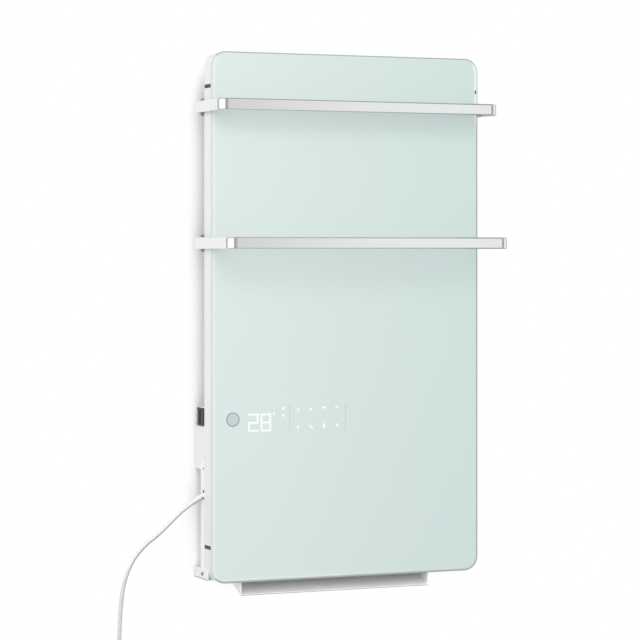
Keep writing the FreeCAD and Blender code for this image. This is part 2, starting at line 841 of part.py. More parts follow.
def fan_scroll():
    """Two end plates joined by the curved back guide and the short front guide."""
    floor_z = bottom_z + max(housing_wall, fan_box_wall)
    inner = rotor_radius + scroll_gap
    outer = inner + scroll_sheet
    x0, x1 = duct_left - end_plate_thickness, duct_right + end_plate_thickness

    def rim_point(radius, angle):
        turn = math.radians(angle)
        return Vector(x0, -fan_depth - radius * math.cos(turn), fan_z + radius * math.sin(turn))

    middle_angle = (scroll_start_angle + 180.0) / 2
    edges = [Part.Arc(rim_point(inner, scroll_start_angle), rim_point(inner, middle_angle),
                      rim_point(inner, 180.0)).toShape(),
             Part.LineSegment(rim_point(inner, 180.0), Vector(x0, -fan_depth + inner, floor_z)).toShape(),
             Part.LineSegment(Vector(x0, -fan_depth + inner, floor_z),
                              Vector(x0, -fan_depth + outer, floor_z)).toShape(),
             Part.LineSegment(Vector(x0, -fan_depth + outer, floor_z), rim_point(outer, 180.0)).toShape(),
             Part.Arc(rim_point(outer, 180.0), rim_point(outer, middle_angle),
                      rim_point(outer, scroll_start_angle)).toShape(),
             Part.LineSegment(rim_point(outer, scroll_start_angle),
                              rim_point(inner, scroll_start_angle)).toShape()]
    guide = Part.Face(Part.Wire(edges)).extrude(Vector(x1 - x0, 0, 0))
    top = fan_z + (inner + scroll_sheet / 2) * math.sin(math.radians(scroll_start_angle))
    flange = block(x0, x1, wall_gap - scroll_sheet, wall_gap, top - scroll_sheet, top + scroll_flange_height)
    front = block(x0, x1, front_guide_depth, front_guide_depth + scroll_sheet, floor_z,
                  floor_z + front_guide_height)
    plates = []
    for start in (x0, duct_right):
        plates.append(block(start, start + end_plate_thickness, back_guide_depth - scroll_sheet,
                            front_guide_depth + scroll_sheet, floor_z, fan_z + end_plate_top))
    shape = fuse_all([guide, flange, front] + plates)
    hole = rod_x(fan_depth, fan_z, x0 - overcut, x1 + overcut, shaft_radius + scroll_hole_clearance)
    return shape.cut(hole)


def ptc_places():
    floor_z = bottom_z + max(housing_wall, fan_box_wall)
    return floor_z + ptc_rise, floor_z + ptc_rise + ptc_height


def ptc_frame():
    z0, z1 = ptc_places()
    outer = block(duct_left, duct_right, back_guide_depth, front_guide_depth, z0, z1)
    inner = block(duct_left + ptc_frame_wall, duct_right - ptc_frame_wall, back_guide_depth + ptc_frame_wall,
                  front_guide_depth - ptc_frame_wall, z0 - overcut, z1 + overcut)
    return outer.cut(inner)


def ptc_core():
    z0, z1 = ptc_places()
    d0, d1 = back_guide_depth + ptc_frame_wall, front_guide_depth - ptc_frame_wall
    x0, x1 = duct_left + ptc_frame_wall, duct_right - ptc_frame_wall
    core = block(x0, x1, d0, d1, z0 + ptc_core_inset, z1 - ptc_core_inset)
    pitch = (x1 - x0) / ptc_slot_count
    middle_d = (d0 + d1) / 2
    rows = ((d0 + ptc_rib, middle_d - ptc_rib), (middle_d + ptc_rib, d1 - ptc_rib))
    slots = [block(x - ptc_slot_width / 2, x + ptc_slot_width / 2, row0, row1, z0, z1)
             for row0, row1 in rows for x in spread((x0 + x1) / 2, pitch, ptc_slot_count)]
    return cut_all(core, slots)


def fan_cutout():
    end = duct_left - end_plate_thickness
    z = ptc_places()[1]
    can = rod_x(fan_depth, z, end - cutout_length, end, cutout_radius)
    tabs = [block(end - cutout_length - cut_out_tab_length, end - cutout_length,
                  d - cut_out_tab_width / 2, d + cut_out_tab_width / 2,
                  z - cut_out_tab_thickness / 2, z + cut_out_tab_thickness / 2)
            for d in spread(fan_depth, cut_out_tab_spacing, 2)]
    return fuse_all([can] + tabs)


def room_sensor():
    x = duct_right + end_plate_thickness + motor_length + sensor_beside_motor
    z = fan_box_top - sensor_below_top
    face = fan_box_back + fan_box_wall
    holder = block(x - sensor_holder_width / 2, x + sensor_holder_width / 2, face, face + sensor_holder_depth,
                   z - sensor_holder_height / 2, z + sensor_holder_height / 2)
    bead = rod_z(x, face + sensor_holder_depth, z - sensor_bead_length / 2, z + sensor_bead_length / 2,
                 sensor_bead_radius)
    return fuse_all([holder, bead])


# Switch box with the mains rocker
def switch_box_outline(inset):
    """The box in (depth, z): a hood behind the switch, full depth below it, and a lap behind the fan box."""
    hood_back = switch_middle_depth - switch_flange_depth / 2 + inset
    hood_foot = switch_z - switch_flange_height / 2 - inset
    return ((wall_gap, switch_top - inset), (hood_back, switch_top - inset), (hood_back, hood_foot),
            (switch_box_back + inset, hood_foot),
            (switch_box_back + inset, switch_bottom + inset), (fan_box_back - inset, switch_bottom + inset),
            (fan_box_back - inset, fan_box_top + inset), (wall_gap, fan_box_top + inset))


def switch_body_half():
    return (rocker_length / 2 + rocker_end_clearance + switch_wall,
            rocker_height / 2 + rocker_side_clearance + switch_wall)


def switch_box():
    outer = section_x(switch_box_outline(0.0), -half_width, -half_width + switch_box_width)
    inner = section_x(switch_box_outline(switch_box_wall), -half_width + switch_box_wall,
                      -half_width + switch_box_width - switch_box_wall)
    box = outer.cut(inner)
    posts = [rod_y(x, z, switch_box_back + switch_box_wall / 2, wall_gap, switch_post_radius)
             for x, z in switch_box_screw_places()]
    box = fuse_all([box] + posts)
    half_d, half_z = switch_body_half()
    tools = [rod_y(x, z, switch_box_back - overcut, wall_gap, small_hole_radius)
             for x, z in switch_box_screw_places()]
    tools.append(block(-half_width - overcut, -half_width + switch_box_wall + overcut,
                       switch_middle_depth - half_d - screw_clearance,
                       switch_middle_depth + half_d + screw_clearance,
                       switch_z - half_z - screw_clearance, switch_z + half_z + screw_clearance))
    return cut_all(box, tools)


def rocker_pivot_x():
    return -half_width - switch_flange_thickness + rocker_pivot_below_flange


def switch_body():
    """Flange and well of the rocker switch, with the two pivot holes."""
    half_d, half_z = switch_body_half()
    outside = -half_width - switch_flange_thickness
    flange = block(outside, -half_width, switch_middle_depth - switch_flange_depth / 2,
                   switch_middle_depth + switch_flange_depth / 2,
                   switch_z - switch_flange_height / 2, switch_z + switch_flange_height / 2)
    rim = [edge for edge in flange.Edges if abs(edge.BoundBox.XLength - switch_flange_thickness) < 1e-6]
    flange = flange.makeFillet(switch_flange_corner, rim)
    well = block(-half_width, -half_width + switch_body_length, switch_middle_depth - half_d,
                 switch_middle_depth + half_d, switch_z - half_z, switch_z + half_z)
    body = flange.fuse(well).removeSplitter()
    cavity = block(outside - overcut, -half_width + switch_body_length - switch_wall,
                   switch_middle_depth - half_d + switch_wall, switch_middle_depth + half_d - switch_wall,
                   switch_z - half_z + switch_wall, switch_z + half_z - switch_wall)
    pivot = rod_z(rocker_pivot_x(), switch_middle_depth, switch_z - half_z - overcut,
                  switch_z + half_z + overcut, trunnion_radius + trunnion_clearance)
    return body.cut(cavity).cut(pivot)


def rocker():
    """The rocker with its rear half standing out; h points out of the box."""
    pivot = rocker_pivot_x()
    half = rocker_length / 2
    outline = ((-half, rocker_crown), (0.0, rocker_valley), (half, rocker_crown),
               (half - rocker_foot_inset, -rocker_foot), (-half + rocker_foot_inset, -rocker_foot))
    corners = [Vector(pivot - h, -switch_middle_depth - u, switch_z - rocker_height / 2) for u, h in outline]
    paddle = Part.Face(Part.makePolygon(corners + corners[:1])).extrude(Vector(0, 0, rocker_height))
    reach = rocker_height / 2 + rocker_side_clearance + switch_wall - trunnion_end_gap
    pin = rod_z(pivot, switch_middle_depth, switch_z - reach, switch_z + reach, trunnion_radius)
    shape = paddle.fuse(pin).removeSplitter()
    shape.rotate(Vector(pivot, -switch_middle_depth, switch_z), Vector(0, 0, 1), rocker_tilt)
    return shape


def terminal_block():
    x0 = -half_width + switch_box_width - switch_box_wall - terminal_side_gap - terminal_width
    z0 = fan_box_top + switch_box_wall + terminal_foot_gap
    body = block(x0, x0 + terminal_width, wall_gap - terminal_depth, wall_gap, z0, z0 + terminal_height)
    wells = [rod_y(x, z0 + terminal_height / 2, wall_gap - terminal_depth - overcut,
                   wall_gap - terminal_floor, terminal_well_radius)
             for x in spread(x0 + terminal_width / 2, terminal_pitch, terminal_count)]
    return cut_all(body, wells)


# Heating element stack
def element_layer(d0, d1, margin=0.0):
    return upright_plate(panel_width / 2 - element_side_margin - margin,
                         (element_top - element_bottom) / 2 - margin, element_corner, d0, d1, 0.0, element_z)


def limiter_place():
    return 0.0, element_z - limiter_below_middle


def heating_panel():
    return element_layer(glass_back - element_thickness, glass_back)


def reflector_sheet():
    face = glass_back - element_thickness
    return element_layer(face - reflector_thickness, face)


def insulation_board():
    face = glass_back - element_thickness - reflector_thickness
    board = element_layer(face - insulation_thickness, face, insulation_margin)
    x, z = limiter_place()
    return board.cut(rod_y(x, z, face - insulation_thickness - overcut, face + overcut,
                           limiter_radius + limiter_clearance))


def panel_limiter():
    face = glass_back - element_thickness - reflector_thickness
    x, z = limiter_place()
    can = rod_y(x, z, face - limiter_length, face, limiter_radius)
    tabs = [block(tab_x - cut_out_tab_width / 2, tab_x + cut_out_tab_width / 2,
                  face - limiter_length - cut_out_tab_length, face - limiter_length,
                  z - cut_out_tab_thickness / 2, z + cut_out_tab_thickness / 2)
            for tab_x in spread(x, cut_out_tab_spacing, 2)]
    return fuse_all([can] + tabs)


# Controls behind the glass
def carrier_places():
    x0 = panel_left + carrier_left
    return x0, x0 + carrier_width, carrier_z - carrier_height / 2, carrier_z + carrier_height / 2


def board_carrier():
    x0, x1, z0, z1 = carrier_places()
    outer = block(x0, x1, glass_back - carrier_depth, glass_back, z0, z1)
    inner = block(x0 + carrier_wall, x1 - carrier_wall, glass_back - carrier_depth - overcut,
                  glass_back + overcut, z0 + carrier_wall, z1 - carrier_wall)
    return outer.cut(inner)


def control_board_front():
    return glass_back - carrier_depth + control_board_back + control_board_thickness


def control_board():
    x0, x1, z0, z1 = carrier_places()
    front = control_board_front()
    return block(x0 + carrier_wall, x1 - carrier_wall, front - control_board_thickness, front,
                 z0 + carrier_wall, z1 - carrier_wall)


def digit_display():
    x = panel_left + digit_left
    return upright_plate(digit_width / 2, digit_height / 2, digit_corner, control_board_front(), glass_back,
                         x, carrier_z)


def infrared_receiver():
    return rod_y(panel_left + receiver_left, carrier_z, control_board_front(), glass_back,
                 receiver_radius)


def touch_pad():
    x = panel_left + touch_pad_left
    z = carrier_z
    back = glass_back - touch_pad_thickness
    pad = upright_plate(touch_pad_width / 2, touch_pad_height / 2, touch_pad_corner, back, glass_back, x, z)
    post = rod_y(x, z, control_board_front(), back, touch_post_radius)
    return fuse_all([pad, post])


# Power electronics on the rear cover
def power_board_places():
    x0 = panel_left + power_board_left
    z = panel_bottom + power_board_above_bottom
    return x0, x0 + power_board_width, z - power_board_height / 2, z + power_board_height / 2


def board_posts():
    x0, x1, z0, z1 = power_board_places()
    return Part.makeCompound([rod_y(x, z, cover_inside, cover_inside + board_post_height, board_post_radius)
                              for x in (x0 + board_post_margin, x1 - board_post_margin)
                              for z in (z0 + board_post_margin, z1 - board_post_margin)])


def power_board():
    x0, x1, z0, z1 = power_board_places()
    back = cover_inside + board_post_height
    return block(x0, x1, back, back + power_board_thickness, z0, z1)


def on_power_board(left, width, low, height, depth):
    x0, _, z0, _ = power_board_places()
    face = cover_inside + board_post_height + power_board_thickness
    return block(x0 + left, x0 + left + width, face, face + depth, z0 + low, z0 + low + height)


def transformer():
    core = on_power_board(transformer_left, transformer_width, transformer_low, transformer_height,
                          transformer_depth)
    winding = on_power_board(transformer_left + winding_inset, transformer_width - 2 * winding_inset,
                             transformer_low - winding_overhang, transformer_height + 2 * winding_overhang,
                             winding_depth)
    return fuse_all([core, winding])


def relays():
    return Part.makeCompound([on_power_board(left, relay_width, relay_low, relay_height, relay_depth)
                              for left in (relay_left, relay_left + relay_pitch)])


def filter_capacitor():
    x0, _, z0, _ = power_board_places()
    face = cover_inside + board_post_height + power_board_thickness
    return rod_y(x0 + capacitor_left, z0 + capacitor_low, face, face + capacitor_length, capacitor_radius)


# Lower wall brackets
def bracket_screw_z():
    return bottom_z + bracket_above_bottom + bracket_height / 2


def lower_bracket():
    """The left one: a plate on the side of the fan box, with a foot turned in along the wall."""
    z0 = bottom_z + bracket_above_bottom
    z1 = z0 + bracket_height
    x0 = -half_width - bracket_thickness
    plate = block(x0, -half_width, 0.0, bracket_front_depth, z0, z1)
    rounded = [edge for edge in plate.Edges if abs(edge.BoundBox.XLength - bracket_thickness) < 1e-6
               and edge.CenterOfMass.z > z1 - 1e-6]
    plate = plate.makeFillet(bracket_corner, rounded)
    foot_z = z0 + bracket_foot_rise + bracket_foot_height / 2
    foot = upright_plate(bracket_foot_length / 2, bracket_foot_height / 2, bracket_foot_corner, 0.0,
                         bracket_thickness, x0 + bracket_foot_length / 2, foot_z)
    root = block(x0, x0 + bracket_foot_length / 2, 0.0, bracket_thickness, foot_z - bracket_foot_height / 2,
                 z1 - bracket_corner)
    shape = fuse_all([plate, foot, root])
    hole = rod_y(x0 + bracket_hole_margin, foot_z, -overcut, bracket_thickness + overcut, bracket_hole_radius)
    screw_hole = rod_x(bracket_screw_depth, bracket_screw_z(), x0 - overcut, -half_width + overcut,
                       small_hole_radius)
    return shape.cut(hole).cut(screw_hole)


def bracket_screws():
    outside = -half_width - bracket_thickness
    z = bracket_screw_z()
    head = rod_x(bracket_screw_depth, z, outside - small_head_height, outside, small_head_radius)
    rim = [edge for edge in head.Edges if abs(edge.CenterOfMass.x - outside + small_head_height) < 1e-6]
    head = head.makeFillet(small_head_height / 2, rim[:1])
    shank = rod_x(bracket_screw_depth, z, outside, outside + bracket_screw_length, small_screw_radius)
    screw = head.fuse(shank).removeSplitter()
    return Part.makeCompound([screw, mirrored(screw)])


# Mains lead
def sleeve_direction():
    fall = math.radians(sleeve_fall)
    return Vector(-math.cos(fall), 0, -math.sin(fall))


def sleeve_tip():
    return gland_point() + sleeve_direction() * sleeve_length


def cord_gland():
    point = gland_point()
    flange = rod_x(gland_depth, point.z, -half_width - gland_flange_thickness, -half_width, gland_flange_radius)
    plug = rod_x(gland_depth, point.z, -half_width, -half_width + gland_inner_length,
                 gland_inner_radius - screw_clearance)
    root = point + sleeve_direction() * (gland_flange_thickness * 0.4)
    sleeve = Part.makeCone(sleeve_root_radius, sleeve_tip_radius, (sleeve_tip() - root).Length, root,
                           sleeve_direction())
    far = 2 * sleeve_length
    outside = block(-half_width - far, -half_width, gland_depth - far, gland_depth + far,
                    point.z - far, point.z + far)
    return fuse_all([flange, plug, sleeve.common(outside)])


def coil_radius(turn):
    """Radius of the lead's middle line after that many turns: in for half of them, then out again."""
    from_middle = abs(turn - coil_turns / 2)
    inner = coil_mean_radius - coil_pitch * coil_turns / 4
    if from_middle < 0.25:
        return inner + coil_pitch * (0.125 + 2 * from_middle ** 2)
    return inner + coil_pitch * from_middle


def coil_layer(turn):
    """Depth gained over the half turn in the middle, where the spiral reverses."""
    share = min(max((turn - coil_turns / 2 + 0.25) / 0.5, 0.0), 1.0)
    return coil_layer_pitch * share * share * (3 - 2 * share)


def coil_point(turn):
    """The turns run down at the left, where the lead comes in and goes out."""
    angle = math.pi + turn * 2 * math.pi
    x = cord_drop_x + coil_radius(0.0) + coil_radius(turn) * math.cos(angle)
    z = middle_z + coil_middle_rise + coil_radius(turn) * math.sin(angle)
    return Vector(x, -cord_drop_depth - coil_layer(turn), z)


def coil_heading(turn):
    step = 1e-4
    return (coil_point(turn + step) - coil_point(turn - step)).normalize()


def arc_between(start, corner, end):
    """The arc that is tangent to start-corner and corner-end, which are equally long."""
    middle = (start + end) * 0.5
    height = (corner - middle).Length
    half_chord = (end - start).Length / 2
    if height < 1e-6:
        return Part.LineSegment(start, end).toShape()
    radius = half_chord * (corner - start).Length / height
    rise = radius - math.sqrt(max(radius ** 2 - half_chord ** 2, 0.0))
    return Part.Arc(start, middle + (corner - middle).normalize() * rise, end).toShape()


def biarc(start, heading, end, end_heading):
    chord = end - start
    both = heading + end_heading
    spare = 2 * (1 - heading.dot(end_heading))
    along = chord.dot(both)
    reach = (math.sqrt(along ** 2 + spare * chord.dot(chord)) - along) / spare
    first = start + heading * reach
    last = end - end_heading * reach
    joint = (first + last) * 0.5
    return [arc_between(start, first, joint), arc_between(joint, last, end)]


def tube(path, start, heading, radius):
    ring = Part.Wire(Part.makeCircle(radius, start, heading))
    solid = path.makePipeShell([ring], True, False)
    if not solid.Solids:
        solid = Part.Solid(solid)
    return solid


def cord_coil():
    down = Vector(0, 0, -1)
    begin = Vector(coil_point(0.0).x, coil_point(0.0).y, coil_point(0.0).z + coil_lead_in)
    edges = [Part.LineSegment(begin, coil_point(0.0)).toShape()]
    quarters = [index / 4 for index in range(coil_turns * 4 + 1)]
    headings = [down if turn in (0.0, float(coil_turns)) else coil_heading(turn) for turn in quarters]
    for start, after, heading, heading_after in zip(quarters, quarters[1:], headings, headings[1:]):
        edges += biarc(coil_point(start), heading, coil_point(after), heading_after)
    last = coil_point(float(coil_turns))
    edges.append(Part.LineSegment(last, last + down * coil_lead_out).toShape())
    path = Part.Wire(edges)
    solid = tube(path, begin, down, cord_radius)
    report_tube("coil", solid, path)
    samples = [coil_point(index / 90) for index in range(coil_turns * 90 + 1)]
    least = min((a - b).Length for i, a in enumerate(samples) for b in samples[i + 45:])
    print("coil: least gap to itself %.2f mm" % (least - 2 * cord_radius))
    return solid


def report_tube(name, solid, path):
    expected = math.pi * cord_radius ** 2 * path.Length
    share = solid.Volume / expected
    print("%s: length %.1f mm, volume over section times length %.4f" % (name, path.Length, share))


# Route of the free lead in (x, depth, rise): out of the sleeve, down to the left, then hanging.
cord_route = ((-302.0, 37.0, -344.0), (-326.0, 35.0, -367.0), (-350.0, 32.0, -384.5),
              (-372.0, 28.5, -411.0), (-386.5, 25.0, -450.0), (-390.5, 22.0, -500.0),
              (-392.0, 20.5, -552.0))
cord_drop_x = -392.0
cord_drop_depth = 20.5


def cord_points():
    points = [sleeve_tip(), sleeve_tip() + sleeve_direction() * cord_first_run]
    points += [Vector(x, -depth, middle_z + rise) for x, depth, rise in cord_route]
    end = coil_point(0.0)
    return points + [Vector(end.x, end.y, end.z + coil_lead_in)]


def power_cord():
    """Straight runs joined by tangent arcs, each arc as large as its two runs allow."""
    points = cord_points()
    edges = []
    radii = []
    at = points[0]
    for before, corner, after in zip(points, points[1:], points[2:]):
        run_in = (corner - before).normalize()
        run_out = (after - corner).normalize()
        half_turn = run_in.getAngle(run_out) / 2
        shorter = min((corner - before).Length, (after - corner).Length)
        reach = 0.45 * shorter
        radii.append(reach / math.tan(half_turn))
        start = corner - run_in * reach
        end = corner + run_out * reach
        edges.append(Part.LineSegment(at, start).toShape())
        edges.append(arc_between(start, corner, end))
        at = end
    edges.append(Part.LineSegment(at, points[-1]).toShape())
    path = Part.Wire(edges)
    print("lead: bend radii", [round(radius) for radius in radii])
    solid = tube(path, points[0], (points[1] - points[0]).normalize(), cord_radius)
    report_tube("lead", solid, path)
    return solid


def cord_tie():
    """A band round the turns on the coil's right, where they run straight up."""
    middle_x = cord_drop_x + coil_radius(0.0) + coil_radius(0.0) - coil_pitch
    z = middle_z + coil_middle_rise
    half_x = coil_pitch / 2 + cord_radius + tie_clearance
    d0 = cord_drop_depth - cord_radius - tie_clearance
    d1 = cord_drop_depth + coil_layer_pitch + cord_radius + tie_clearance
    outer_half = half_x + tie_thickness
    outer = level_plate(middle_x - outer_half, middle_x + outer_half, d0 - tie_thickness, d1 + tie_thickness,
                        cord_radius + tie_thickness, z - tie_width / 2, z + tie_width / 2)
    inner = level_plate(middle_x - half_x, middle_x + half_x, d0, d1, cord_radius, z - tie_width / 2,
                        z + tie_width / 2)
    return outer.cut(inner)


def plug_top():
    end = coil_point(float(coil_turns))
    return Vector(end.x, end.y, end.z - coil_lead_out)


def plug_body():
    top = plug_top()
    stations = ((0.0, 0.0), (plug_relief_tip, 0.0), (plug_relief_radius, plug_relief_length),
                (plug_shoulder_radius, plug_relief_length + plug_shoulder_drop),
                (plug_radius, plug_relief_length + plug_shoulder_length),
                (plug_radius, plug_relief_length + plug_shoulder_length + plug_length),
                (0.0, plug_relief_length + plug_shoulder_length + plug_length))
    corners = [Vector(top.x + r, top.y, top.z - drop) for r, drop in stations]
    outline = Part.Face(Part.makePolygon(corners + corners[:1]))
    body = outline.revolve(top, Vector(0, 0, 1), 360)
    foot = [edge for edge in body.Edges if abs(edge.BoundBox.ZLength) < 1e-6
            and edge.CenterOfMass.z < top.z - plug_relief_length - plug_shoulder_length - plug_length + 1e-3
            and edge.Length > plug_radius * 5]
    return body.makeFillet(plug_edge, foot)


def plug_pins():
    top = plug_top()
    face = top.z - plug_relief_length - plug_shoulder_length - plug_length
    pins = []
    for side in (-1, 1):
        pin = rod_z(top.x + side * pin_spacing / 2, -top.y, face - pin_length, face, pin_radius)
        tip = [edge for edge in pin.Edges if abs(edge.CenterOfMass.z - face + pin_length) < 1e-6]
        pins.append(pin.makeFillet(pin_tip, tip[:1]))
    return Part.makeCompound(pins)


def build():
    os.makedirs("parts", exist_ok=True)
    save("glass_front", glass_front_plate())
    save("glass_gasket", glass_gasket())
    save("front_frame", front_frame())
    save("rear_cover", rear_cover())
    save("cover_screws", small_screws(cover_screw_places(), wall_gap))
    save("upper_cross_bar", cross_bar(upper_rail_z))
    save("lower_cross_bar", cross_bar(lower_rail_z))
    save("hanger_backing", hanger_backing())
    save("hanger", hanger())
    save("hanger_screws", small_screws(hanger_screw_places(), wall_gap - hanger_thickness, hanger_screw_reach))
    save("wall_plate", wall_plate())
    save("upper_towel_rail", towel_rail(upper_rail_z, upper_rail_reach))
    save("lower_towel_rail", towel_rail(lower_rail_z, lower_rail_reach))
    save("upper_rail_standoffs", rail_standoffs(upper_rail_z))
    save("lower_rail_standoffs", rail_standoffs(lower_rail_z))
    save("rail_screws", rail_screws())
    save("fan_box", fan_box())
    save("fan_box_screws", small_screws(fan_box_screw_places(), fan_box_back, fan_box_depth + box_screw_bite))
    save("inlet_grille", inlet_grille())
    save("outlet_grille", outlet_grille())
    save("outlet_scoop", outlet_scoop())
    save("fan_rotor", fan_rotor())
    save("fan_shaft", fan_shaft())
    save("fan_bearing", fan_bearing())
    save("fan_motor", fan_motor())
    save("fan_scroll", fan_scroll())
    save("ptc_frame", ptc_frame())
    save("ptc_core", ptc_core())
    save("fan_cutout", fan_cutout())
    save("room_sensor", room_sensor())
    save("switch_box", switch_box())
    save("switch_box_screws", small_screws(switch_box_screw_places(), switch_box_back,
                                           switch_box_depth + box_screw_bite))
    save("switch_body", switch_body())
    save("rocker", rocker())
    save("terminal_block", terminal_block())
    save("heating_panel", heating_panel())
    save("reflector_sheet", reflector_sheet())
    save("insulation_board", insulation_board())
    save("panel_limiter", panel_limiter())
    save("board_carrier", board_carrier())
    save("control_board", control_board())
    save("digit_display", digit_display())
    save("infrared_receiver", infrared_receiver())
    save("touch_pad", touch_pad())
    save("board_posts", board_posts())
    save("power_board", power_board())
    save("transformer", transformer())
    save("relays", relays())
    save("filter_capacitor", filter_capacitor())
    left_bracket = lower_bracket()
    save("left_bracket", left_bracket)
    save("right_bracket", mirrored(left_bracket))
    save("bracket_screws", bracket_screws())
    save("cord_gland", cord_gland())
    save("power_cord", power_cord())
    save("cord_coil", cord_coil())
    save("cord_tie", cord_tie())
    save("plug_body", plug_body())
    save("plug_pins", plug_pins())


build()
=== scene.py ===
import bmesh
import bpy
import json
import math
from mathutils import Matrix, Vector

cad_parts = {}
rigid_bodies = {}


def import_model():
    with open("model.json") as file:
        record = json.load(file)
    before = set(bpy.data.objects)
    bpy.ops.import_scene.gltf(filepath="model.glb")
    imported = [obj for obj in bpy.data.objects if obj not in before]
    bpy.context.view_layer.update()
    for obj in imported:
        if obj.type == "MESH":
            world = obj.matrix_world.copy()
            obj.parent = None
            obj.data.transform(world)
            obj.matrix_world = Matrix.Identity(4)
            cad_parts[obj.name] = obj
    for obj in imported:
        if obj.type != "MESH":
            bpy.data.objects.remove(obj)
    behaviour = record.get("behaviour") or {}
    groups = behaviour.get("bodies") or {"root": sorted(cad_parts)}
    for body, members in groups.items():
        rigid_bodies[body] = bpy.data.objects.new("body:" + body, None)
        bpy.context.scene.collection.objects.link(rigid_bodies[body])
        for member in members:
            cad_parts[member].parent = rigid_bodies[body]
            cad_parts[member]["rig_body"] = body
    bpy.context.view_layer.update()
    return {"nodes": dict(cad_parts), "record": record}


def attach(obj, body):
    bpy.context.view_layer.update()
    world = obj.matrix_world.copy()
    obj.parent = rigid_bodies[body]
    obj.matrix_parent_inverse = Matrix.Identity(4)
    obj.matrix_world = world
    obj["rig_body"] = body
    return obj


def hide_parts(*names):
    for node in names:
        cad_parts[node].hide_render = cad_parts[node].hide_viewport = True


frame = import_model()
nodes = frame["nodes"]
scene = bpy.context.scene
scene.view_settings.view_transform = "Standard"
print("frame loaded:", len(nodes), "nodes")


def newObject(name, data):
    made = bpy.data.objects.new(name, data)
    scene.collection.objects.link(made)
    return made


# Camera: level, from the left front, glass centre a little right of its axis
cameraSettings = {"place": (-1.7311, -4.0849, -0.1336), "turn": 22.783, "lens": 142.1, "sensor": 36.0,
                  "shift": -0.1117, "farClip": 60.0}


def makeCamera(settings):
    data = bpy.data.cameras.new("photoCamera")
    data.sensor_width = settings["sensor"]
    data.lens = settings["lens"]
    data.shift_y = settings["shift"]
    data.clip_end = settings["farClip"]
    camera = newObject("photoCamera", data)
    camera.location = settings["place"]
    camera.rotation_euler = (math.radians(90.0), 0.0, math.radians(-settings["turn"]))
    scene.camera = camera


makeCamera(cameraSettings)
print("camera set")


# Node trees: a wire is an output socket that can be used in sums
class Wire:
    def __init__(self, maker, socket):
        self.maker = maker
        self.socket = socket

    def math(self, operation, *others):
        return self.maker.add("ShaderNodeMath", {"operation": operation}, dict(enumerate((self,) + others)))

    def __add__(self, other):
        return self.math("ADD", other)

    __radd__ = __add__

    def __sub__(self, other):
        return self.math("SUBTRACT", other)

    def __rsub__(self, other):
        return self * -1.0 + other

    def __mul__(self, other):
        return self.math("MULTIPLY", other)

    __rmul__ = __mul__

    def __truediv__(self, other):
        return self.math("DIVIDE", other)

    def __pow__(self, other):
        return self.math("POWER", other)

    def __abs__(self):
        return self.math("ABSOLUTE")

    def least(self, other):
        return self.math("MINIMUM", other)

    def most(self, other):
        return self.math("MAXIMUM", other)

    def around(self, middle, spread):  # from 0 to 1, to a spread round its middle
        return self * spread + (middle - spread / 2)

    def ramp(self, low, high):  # 0 below low, 1 above high, smooth between
        return self.maker.add("ShaderNodeMapRange", {"interpolation_type": "SMOOTHSTEP"},
                              {"Value": self, "From Min": low, "From Max": high})

    def output(self, name):
        return Wire(self.maker, self.socket.node.outputs[name])


class NodeMaker:
    def __init__(self, tree):
        self.tree = tree

    def add(self, kind, settings=None, values=None, out=0):
        node = self.tree.nodes.new(kind)
        for name, value in (settings or {}).items():
            if name == "stops":
                self.setStops(node.color_ramp, value)
            else:
                setattr(node, name, value)
        for name, value in (values or {}).items():
            if isinstance(value, Wire):
                self.tree.links.new(value.socket, node.inputs[name])
            else:
                node.inputs[name].default_value = value
        return Wire(self, node.outputs[out]) if node.outputs else node

    def setStops(self, ramp, stops):
        while len(ramp.elements) < len(stops):
            ramp.elements.new(0.5)
        for element, (place, colour) in zip(ramp.elements, stops):
            element.position = place
            element.color = colour


def linear(red, green, blue):  # display levels from 0 to 255 as linear light
    def one(value):
        share = value / 255.0
        return share / 12.92 if share <= 0.04045 else ((share + 0.055) / 1.055) ** 2.4
    return (one(red), one(green), one(blue), 1.0)


class Finish(NodeMaker):
    def __init__(self, name):
        self.material = bpy.data.materials.new(name)
        self.material.use_nodes = True
        super().__init__(self.material.node_tree)
        self.tree.nodes.clear()

    def place(self):
        return self.add("ShaderNodeTexCoord", out="Object")

    def axes(self, vector=None):
        split = self.add("ShaderNodeSeparateXYZ", values={"Vector": vector or self.place()})
        return split, split.output("Y"), split.output("Z")

    def noise(self, scale, detail, roughness=0.5, place=None):
        return self.add("ShaderNodeTexNoise", values={"Vector": place or self.place(), "Scale": scale,
                                                      "Detail": detail, "Roughness": roughness})

    def openness(self, reach, samples):
        return self.add("ShaderNodeAmbientOcclusion", {"samples": samples}, {"Distance": reach}, out="AO")

    def blend(self, share, first, second):  # each colour a wire or display levels
        first, second = (tint if isinstance(tint, Wire) else linear(*tint) for tint in (first, second))
        return self.add("ShaderNodeMix", {"data_type": "RGBA"}, {"Factor": share, 6: first, 7: second}, out=2)

    def bump(self, height, strength, distance):
        return self.add("ShaderNodeBump", values={"Height": height, "Strength": strength, "Distance": distance})

    def surface(self, values):
        shader = self.add("ShaderNodeBsdfPrincipled", values=values)
        self.add("ShaderNodeOutputMaterial", values={"Surface": shader})
        return self.material


